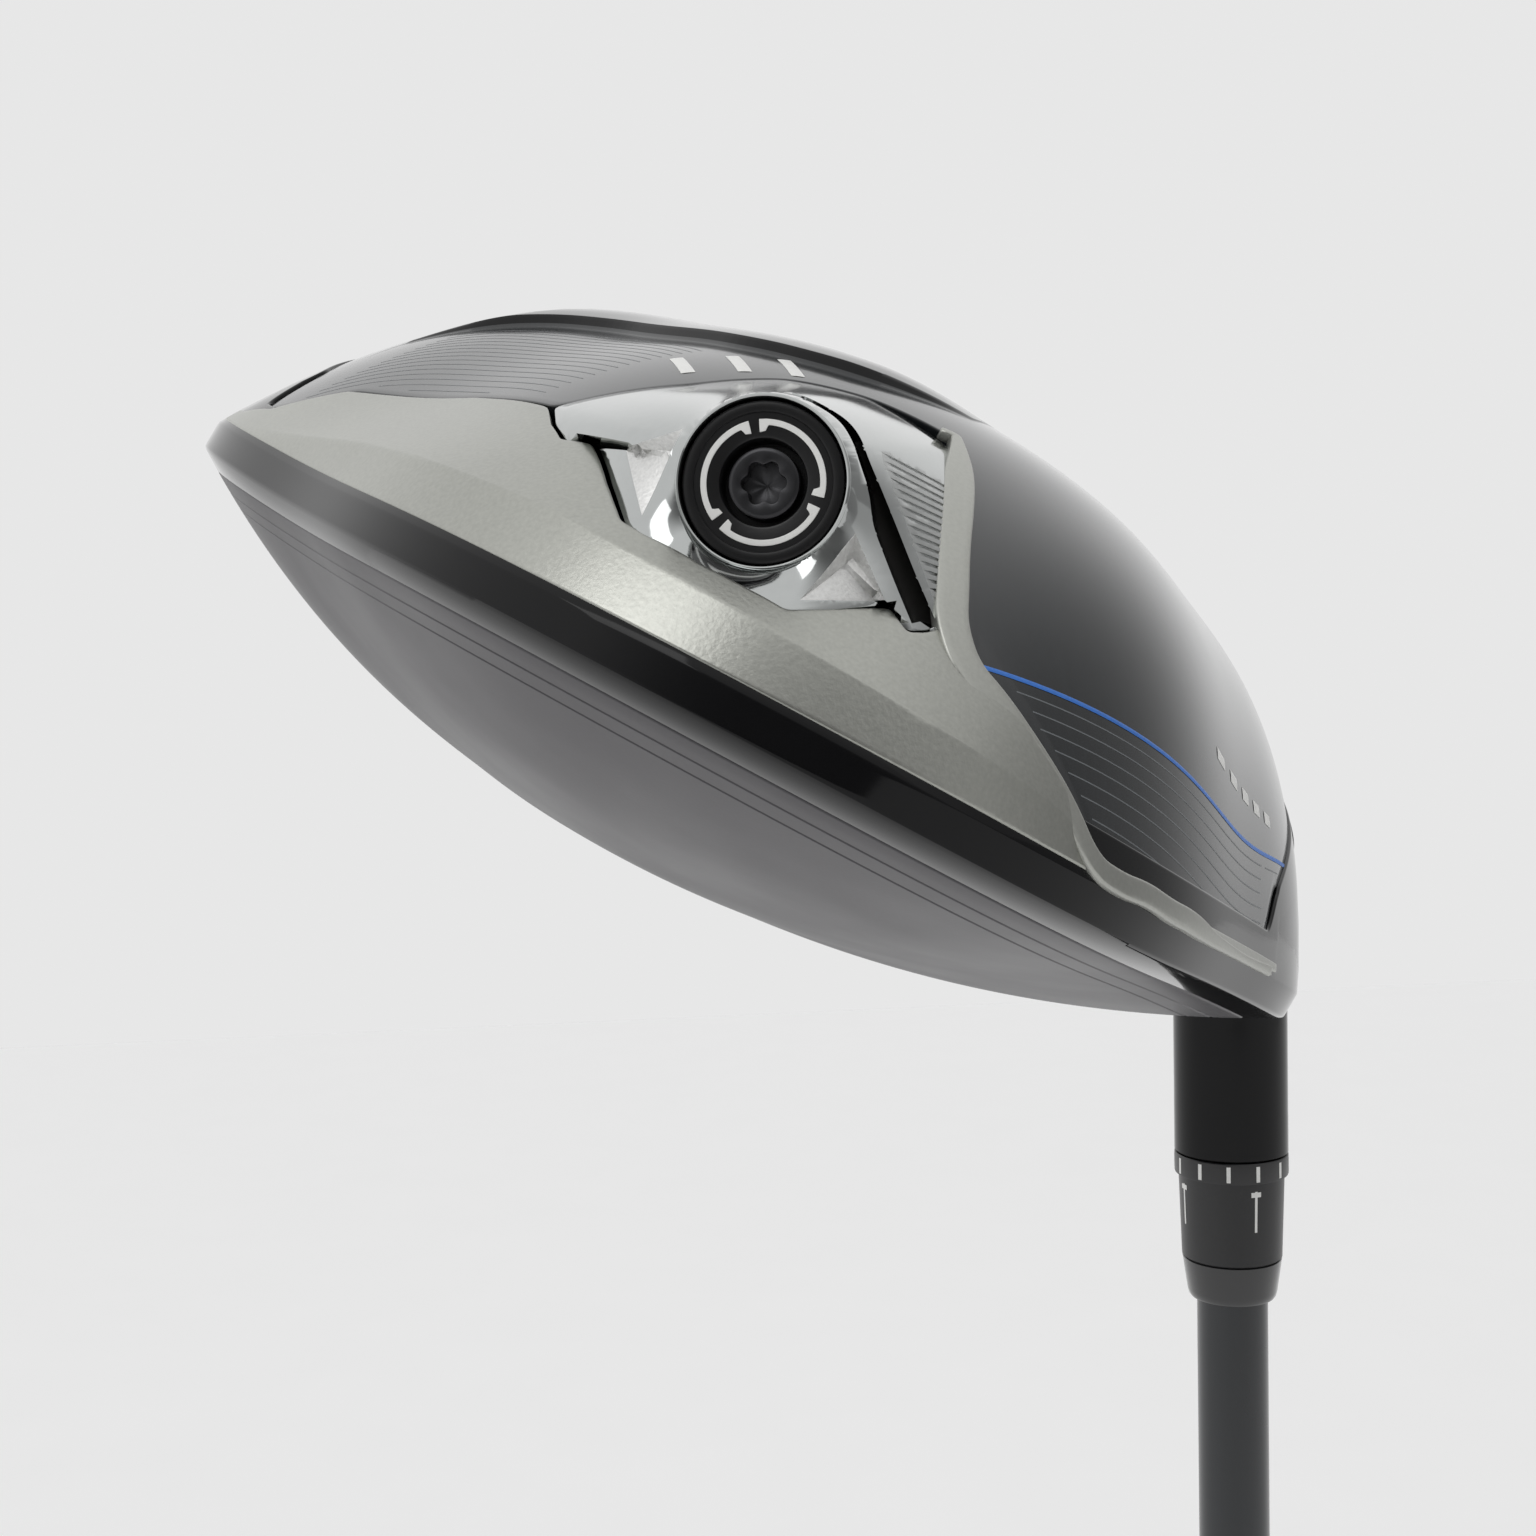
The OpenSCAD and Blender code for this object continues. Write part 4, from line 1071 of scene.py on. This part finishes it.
def housing():
    loop = HOUSING_FRONT + HOUSING_BACK
    closed = loop[-1:] + loop + loop[:1]
    path = resampled(rounded_line(closed, 0.7, 5)[1:-1], 0.3)
    skin_points = drape(path, -0.02)
    edge = skin_points @ TO_WEIGHT[:3, :3].T + TO_WEIGHT[:3, 3]
    toward = -edge[:, :2] / np.linalg.norm(edge[:, :2], axis=1, keepdims=True)
    edge[:, :2] += toward * 0.22
    keep = np.linalg.norm(edge - np.roll(edge, 1, 0), axis=1) > 0.02
    edge = edge[keep]
    turn = np.arctan2(edge[:, 1], edge[:, 0])
    order = np.argsort(turn)
    wrap_turn = np.concatenate([turn[order] - 2 * np.pi, turn[order], turn[order] + 2 * np.pi])
    reach = np.tile(np.linalg.norm(edge[order, :2], axis=1), 3)
    level = np.tile(edge[order, 2], 3)

    def base(p):
        r = np.linalg.norm(p, axis=1)
        t = np.arctan2(p[:, 1], p[:, 0])
        far = np.interp(t, wrap_turn, reach)
        k = np.clip((r - RIM_R) / np.maximum(far - RIM_R, 0.05), 0, 1)
        swell = 0.10 * (far - RIM_R) * np.sin(np.pi * k) * 0.8
        return mix(RIM_TOP, np.interp(t, wrap_turn, level), k) + swell

    points = [tuple(q) for q in edge[:, :2]]
    edges = [(i, (i + 1) % len(points)) for i in range(len(points))]
    start = len(points)
    for t in np.linspace(0, 2 * np.pi, 180, endpoint=False):
        points.append((RIM_R * math.cos(t), RIM_R * math.sin(t)))
    edges += [(start + i, start + (i + 1) % 180) for i in range(180)]

    def add_line(line, closed=False):
        first = len(points)
        points.extend(tuple(q) for q in line)
        count = len(line)
        for i in range(count if closed else count - 1):
            edges.append((first + i, first + (i + 1) % count))

    for pocket in POCKETS:
        a, b, c, low = (np.array(q) for q in pocket[:4])
        for u, v in ((a, b), (b, c), (c, a), (a, low), (b, low), (c, low)):
            add_line(resampled([u, v], 0.4))
    for inset in (0, 0.12):
        inner, outer, _ = slot_lines(inset)
        add_line(np.concatenate([inner, outer[::-1]]), True)
    for n in range(RIB_COUNT + 1):
        for off in (-0.22, -0.08, 0.08, 0.22):
            q = (n + off) / RIB_COUNT
            left = mix(np.array(RIB_LEFT[0]), np.array(RIB_LEFT[1]), q)
            right = mix(np.array(RIB_RIGHT[0]), np.array(RIB_RIGHT[1]), q)
            add_line(resampled([left, right], 0.5))
    for t in np.linspace(-np.pi, np.pi, 144, endpoint=False):
        far = np.interp(t, wrap_turn, reach)
        for k in np.linspace(0, 1, 14)[1:-1]:
            r = mix(RIM_R, far, k)
            points.append((r * math.cos(t), r * math.sin(t)))
    found = delaunay_2d_cdt([Vector(p) for p in points], edges, [], 0, 1e-4)
    flat = np.array([tuple(v) for v in found[0]])
    faces = np.array([f for f in found[2]])
    mid = flat[faces].mean(1)
    outline = edge[:, :2]
    kept = in_polygon(mid, outline) & (np.linalg.norm(mid, axis=1) > RIM_R * 0.9995)
    faces = faces[kept]
    mid = mid[kept]
    height = base(flat)
    border = np.linalg.norm(flat[:, None] - outline[None], axis=2)
    on_edge = border.min(1) < 1e-3
    height[on_edge] = edge[border.argmin(1)[on_edge], 2]
    for pocket in POCKETS:
        height -= tent(flat, pocket)
    share, along = slot_share(flat)
    height -= share * mix(0.35, 2.4, smooth(along / 0.45))
    number, across = rib_place(flat)
    ends = smooth(across / 0.03) * smooth((1 - across) / 0.03)
    groove = np.clip(1.6 - np.abs(number - np.round(number)) / 0.14, 0, 1)
    ribbed = (number > -0.4) & (number < RIB_COUNT + 0.4) & (across > 0) & (across < 1)
    height -= np.where(ribbed, ends * groove * 0.3, 0)
    area = np.cross(flat[faces[:, 1]] - flat[faces[:, 0]], flat[faces[:, 2]] - flat[faces[:, 0]])
    faces[area < 0] = faces[area < 0][:, ::-1]
    used = np.unique(faces)
    remap = np.zeros(len(flat), int)
    remap[used] = np.arange(len(used))
    top = np.column_stack([flat, height])[used]
    faces = [tuple(f) for f in remap[faces]]
    number_mid, across_mid = rib_place(mid)
    share_mid, along_mid = slot_share(mid)
    looks = np.zeros(len(faces), int)
    for pocket in POCKETS:
        looks[tent(mid, pocket) > 0] = 1
    wing = (number_mid > -0.45) & (number_mid < RIB_COUNT + 0.45) & (across_mid > -0.02) & (across_mid < 1.04)
    looks[wing] = 2
    # The deep part of the slot takes the dark lacquer: painted shade in the recess.
    looks[(share_mid > 0.5) & (along_mid > 0.3)] = 3
    points3, all_faces = rolled(top, faces, radius=0.12, depth=0.8)
    points3 = np.array(points3, float)
    off_axis = np.hypot(points3[:, 0], points3[:, 1])
    points3[:, :2] *= (np.maximum(off_axis, WEIGHT_CLEAR) / np.maximum(off_axis, 0.1))[:, None]
    piece = add_piece("housing_shell", points3, all_faces, WEIGHT, "head",
                      [chrome, blasted, satin, slot_painted_shade], ["weight_housing"], "housing_chrome", sharp=24)
    shown = np.zeros(len(piece.data.polygons), np.int32)
    shown[:len(looks)] = looks
    if len(piece.data.polygons) == len(all_faces):
        piece.data.polygons.foreach_set("material_index", shown)
    barrel = lathe([(RIM_R + 0.02, RIM_TOP - 1.5), (RIM_R + 0.02, RIM_TOP), (RIM_R - 0.04, RIM_TOP + 0.16),
                    (RIM_R - 0.14, RIM_TOP + 0.24), (RIM_R - 0.24, RIM_TOP + 0.18),
                    (RIM_R - 0.32, RIM_TOP - 0.05), (RIM_R - 0.34, RIM_TOP - 3.2)])
    add_piece("housing_rim", *barrel, WEIGHT, "head", chrome, slot="housing_chrome")


# ---------------------------------------------------------------- weight and screw
WEIGHT_TOP = -0.75


def rear_weight():
    disc = lathe([(5.4, -8.4), (5.88, -8), (5.88, WEIGHT_TOP - 0.25), (5.8, WEIGHT_TOP - 0.06),
                  (5.66, WEIGHT_TOP), (5.2, WEIGHT_TOP), (5.05, WEIGHT_TOP - 0.04),
                  (4.98, WEIGHT_TOP - 0.16), (3.35, WEIGHT_TOP - 0.16), (3.2, WEIGHT_TOP - 0.22),
                  (3.12, WEIGHT_TOP - 0.4), (3.1, WEIGHT_TOP - 2.4), (2.5, WEIGHT_TOP - 2.4)], 192)
    add_piece("weight_disc", *disc, WEIGHT, "weight", weight_black, ["rear_weight"], "weight_black")
    arcs = []
    gaps = (98, 220, 339)
    for k, gap in enumerate(gaps):
        start = gap + 5.2
        stop = gaps[(k + 1) % 3] + (360 if k == 2 else 0) - 5.2
        t = np.concatenate([[start], start + np.array([0.4, 6, 7.5, 9, 9.6]),
                            np.linspace(start + 12, stop - 12, 40),
                            stop - np.array([9.6, 9, 7.5, 6, 0.4]), [stop]])
        end = np.minimum(t - start, stop - t)
        inner = mix(3.62, 4.12, smooth((end - 5.0) / 4.2))
        r = inner[:, None] + (4.5 - inner)[:, None] * np.linspace(0, 1, 4)[None]
        net = np.stack([cosd(t)[:, None] * r, sind(t)[:, None] * r,
                        np.full(r.shape, WEIGHT_TOP - 0.10)], -1)
        points, faces = grid_patch(net)
        arcs.append(rolled(points, [f[::-1] for f in faces], radius=0.03, depth=0.09))
    add_piece("weight_marks", *joined(*arcs), WEIGHT, "weight", white_ink, slot="weight_black")


def lobes(turn, mean, swing):
    return mean + swing * (np.cos(6 * turn) - 0.12 * np.cos(12 * turn))


def driven_head(r, top, reach, mean, swing, depth, length):
    """Screw or bolt head with a six-lobe recess, and its shank."""
    turn = np.linspace(0, 2 * np.pi, 192, endpoint=False)
    rim_row = lobes(turn, mean, swing)
    rings = [
        (r * 0.72 + 0 * turn, top - reach - length), (r * 0.72 + 0 * turn, top - reach),
        (r + 0 * turn, top - reach), (r + 0 * turn, top - 0.3), (r - 0.06 + 0 * turn, top - 0.12),
        (r - 0.22 + 0 * turn, top - 0.02), (r - 0.36 + 0 * turn, top),
        (rim_row + 0.10, top), (rim_row + 0.03, top - 0.03), (rim_row, top - 0.10),
        (rim_row - 0.02, top - depth), (0.55 * rim_row, top - depth - 0.05),
        (0 * turn + 0.02, top - depth - 0.35),
    ]
    net = np.stack([np.stack([np.cos(turn) * q, np.sin(turn) * q, z + 0 * turn], -1) for q, z in rings], 1)
    return grid_patch(net, wrap=True)


def weight_screw():
    piece = driven_head(2.6, -1.15, 2.0, 1.5, 0.17, 1.3, 10.5)
    add_piece("weight_screw_shell", *piece, WEIGHT, "screw", screw_steel, ["weight_screw"],
              "screw_steel", sharp=28)


# ---------------------------------------------------------------- club
def club_lathe(name, profile, material, nodes, slot, segments=160):
    return add_piece(name, *lathe(profile, segments), CLUB, "shaft_assembly", material, nodes, slot)


def shaft_parts():
    taper_end = HOSEL_END + 20 - 75
    heights = np.linspace(4.1, taper_end, 120)
    r = mix(7.6, SHAFT_TIP_R, (heights - 4.1) / (taper_end - 4.1))
    profile = [(6.5, 4.1)] + list(zip(r, heights)) + [(SHAFT_TIP_R, HOSEL_END + 20), (2.4, HOSEL_END + 20)]
    club_lathe("shaft_tube", profile, graphite, ["shaft"], "graphite")
    low = HOSEL_END - 13
    club_lathe("ferrule_shell", [
        (SHAFT_TIP_R + 0.05, low - 5), (4.6, low - 5), (5.05, low - 4.9), (5.25, low - 4.6),
        (5.4, low - 4), (5.95, low - 0.12), (5.85, low - 0.05), (SHAFT_TIP_R + 0.05, low - 0.05),
    ], ferrule_black, ["ferrule"], "ferrule_plastic")
    top = HOSEL_END - 0.1
    club_lathe("sleeve_shell", [
        (SHAFT_TIP_R + 0.05, low), (5.8, low), (6.0, low + 0.2), (6.33, low + 10.35),
        (6.75, HOSEL_END - 2.6), (6.8, HOSEL_END - 2.5), (6.8, top - 0.1), (6.7, top),
        (5.45, top), (5.45, top + 5), (5.1, top + 5.1), (5.1, HOSEL_END + 30.8), (4.9, HOSEL_END + 31),
        (2.52, HOSEL_END + 31),
    ], sleeve_black, ["loft_sleeve"], "sleeve_black")
    teeth = []
    for i in range(12):
        t = math.radians(15 + 30 * i)
        turn = Matrix.Rotation(t, 3, "Z")
        corners = []
        for x in (5.3, 5.98):
            for y in (-0.65, 0.65):
                for z in (top + 0.02, top + 4.9):
                    corners.append(tuple(turn @ Vector((x, y, z))))
        teeth.append((np.array(corners), [(0, 1, 3, 2), (4, 6, 7, 5), (0, 4, 5, 1), (2, 3, 7, 6),
                                          (0, 2, 6, 4), (1, 5, 7, 3)]))
    add_piece("sleeve_teeth", *joined(*teeth), CLUB, "shaft_assembly", sleeve_black, slot="sleeve_black")
    marks = []
    for i in range(12):
        long_mark = i % 3 == 0
        marks.append(sleeve_mark(i * 30 + 8, 0.45, HOSEL_END - 2.35, HOSEL_END - 0.45))
        if long_mark:
            marks.append(sleeve_mark(i * 30 + 8, 0.34, HOSEL_END - 8.6, HOSEL_END - 3.6))
            marks.append(sleeve_mark(i * 30 + 8, 1.3, HOSEL_END - 4.3, HOSEL_END - 3.7))
    add_piece("sleeve_marks", *joined(*marks), CLUB, "shaft_assembly", white_ink, slot="sleeve_black")


def sleeve_radius(z):
    return np.interp(z, [HOSEL_END - 13, HOSEL_END - 2.65, HOSEL_END - 2.6, HOSEL_END],
                     [6.0, 6.33, 6.8, 6.8])


def sleeve_mark(angle, width, low, high):
    z = np.linspace(low, high, 8)
    r = sleeve_radius(z) + 0.02
    half = np.degrees(width / 2 / 6.5)
    t = angle + np.linspace(-half, half, 6)
    net = np.stack([cosd(t)[:, None] * r, sind(t)[:, None] * r, z + 0 * t[:, None]], -1)
    return grid_patch(net)


def grip():
    """Grip with a rolled mouth, a domed cap and rows of shallow grooves."""
    rows = []
    z = 12.0
    while z < 261:
        k = (z - 24) / 12
        near = abs(z - 24 - 12 * round(k))
        groove = 0.42 * (1 - min(1, max(0, (near - 0.35) / 0.3))) if 20 < z < 246 else 0
        rows.append((mix(12.1, 9.5, (z - 12) / 249) - groove, z))
        z += 0.3 if near < 1.2 else 0.9
    profile = [(0.6, 0.0), (1, -0.0), (9, 0.0), (11.5, 0.25), (12.8, 0.7), (13.4, 1.6), (13.5, 3), (13.45, 5),
               (12.9, 8), (12.3, 11)] + rows + [(9.5, 265), (9.3, 266.4), (8.8, 267), (7.4, 267), (7.3, 262)]
    add_piece("grip_shell", *lathe(profile, 128), CLUB, "shaft_assembly", grip_rubber, ["grip"],
              "grip_rubber")


def bolt():
    seat = HOSEL_END + 32 + 2 + 1.2
    points, faces = driven_head(3.88, 5.0, 5.0, 1.9, 0.32, 3.0, 13.0)
    points = points + np.array([0, 0, seat])
    add_piece("bolt_shell", points, faces, CLUB, "bolt", bolt_steel, ["hosel_bolt"], "bolt_steel", sharp=28)


satin = surface("satin", (0.44, 0.45, 0.445), 0.30, metal=1.0, grain=3000, spread=0.08, bump=0.3)

crown_panel()
body_casting()
face_cover()
slot_insert()
sole_panel()
rear_ring()
housing()
rear_weight()
weight_screw()
shaft_parts()
grip()
bolt()


# ---------------------------------------------------------------- stage, lights and camera
def soft_white(name, colour, rough):
    material, nodes, links, shader = node_tree(name)
    slow = noise(nodes, links, 6, 2)
    blend = nodes.new("ShaderNodeMix")
    blend.data_type = "RGBA"
    blend.inputs["A"].default_value = (*[c * 0.98 for c in colour], 1)
    blend.inputs["B"].default_value = (*colour, 1)
    links.new(slow, blend.inputs["Factor"])
    links.new(blend.outputs["Result"], shader.inputs["Base Color"])
    shader.inputs["Roughness"].default_value = rough
    return material


def plane(name, corners, material):
    mesh = bpy.data.meshes.new(name)
    mesh.from_pydata(corners, [], [tuple(range(len(corners)))])
    mesh.materials.append(material)
    piece = bpy.data.objects.new(name, mesh)
    bpy.context.scene.collection.objects.link(piece)
    return piece


pale = soft_white("pale_floor", (0.966, 0.966, 0.966), 0.7)
plane("floor", [(-6, -6, -0.01), (6, -6, -0.01), (6, 6, -0.01), (-6, 6, -0.01)], pale)


def light(name, place, aim, size, power, colour=(1, 1, 1), shape_y=None):
    data = bpy.data.lights.new(name, "AREA")
    data.shape = "RECTANGLE"
    data.size = size
    data.size_y = shape_y or size
    data.energy = power
    data.color = colour
    lamp = bpy.data.objects.new(name, data)
    lamp.location = place
    lamp.rotation_euler = (Vector(aim) - Vector(place)).to_track_quat("-Z", "Y").to_euler()
    bpy.context.scene.collection.objects.link(lamp)
    return lamp


head_mid = (-0.05, -0.04, 1.16)
light("key", (-0.5, -0.7, 2.1), head_mid, 0.7, 2.6)
light("fill", (0.9, -0.4, 1.6), head_mid, 0.8, 0.35)

world = bpy.data.worlds.new("studio")
world.use_nodes = True
bpy.context.scene.world = world
wn = world.node_tree.nodes
wl = world.node_tree.links
wn.clear()


def ramped(value, start, stop, low, high):
    node = wn.new("ShaderNodeMapRange")
    node.interpolation_type = "SMOOTHSTEP"
    for key, number in (("From Min", start), ("From Max", stop), ("To Min", low), ("To Max", high)):
        node.inputs[key].default_value = number
    wl.new(value, node.inputs[0])
    return node.outputs[0]


# White all round, darker low down and in a band behind the camera; the camera itself sees
# an even pale grey.
coords = wn.new("ShaderNodeTexCoord")
split = wn.new("ShaderNodeSeparateXYZ")
wl.new(coords.outputs["Generated"], split.inputs[0])
height = ramped(split.outputs["Z"], -0.55, 0.15, 0.38, 0.95)
behind = ramped(split.outputs["Y"], -0.98, -0.42, 0.16, 1.0)
heel_side = ramped(split.outputs["X"], 0.55, 0.97, 1.0, 0.30)
both = wn.new("ShaderNodeMath")
both.operation = "MULTIPLY"
wl.new(height, both.inputs[0])
wl.new(heel_side, both.inputs[1])
product = wn.new("ShaderNodeMath")
product.operation = "MULTIPLY"
wl.new(both.outputs[0], product.inputs[0])
wl.new(behind, product.inputs[1])
path = wn.new("ShaderNodeLightPath")
seen = wn.new("ShaderNodeMix")
seen.data_type = "FLOAT"
wl.new(path.outputs["Is Camera Ray"], seen.inputs["Factor"])
wl.new(product.outputs[0], seen.inputs["A"])
seen.inputs["B"].default_value = 0.80
shade = wn.new("ShaderNodeBackground")
shade.inputs[0].default_value = (1, 1, 1, 1)
sky_out = wn.new("ShaderNodeOutputWorld")
wl.new(seen.outputs["Result"], shade.inputs[1])
wl.new(shade.outputs[0], sky_out.inputs[0])

camera_data = bpy.data.cameras.new("camera")
camera_data.lens = 48.13
camera_data.sensor_width = 36
camera_data.clip_start = 0.01
camera = bpy.data.objects.new("camera", camera_data)
camera.matrix_world = (
    Matrix.Translation((-0.08366, -0.23877, 1.16628))
    @ Matrix.Rotation(math.radians(-6.66), 4, "Z")
    @ Matrix.Rotation(math.radians(90 - 3.78), 4, "X")
    @ Matrix.Rotation(math.radians(-1.34), 4, "Z")
)
bpy.context.scene.collection.objects.link(camera)
bpy.context.scene.camera = camera
bpy.context.scene.view_settings.view_transform = "Standard"
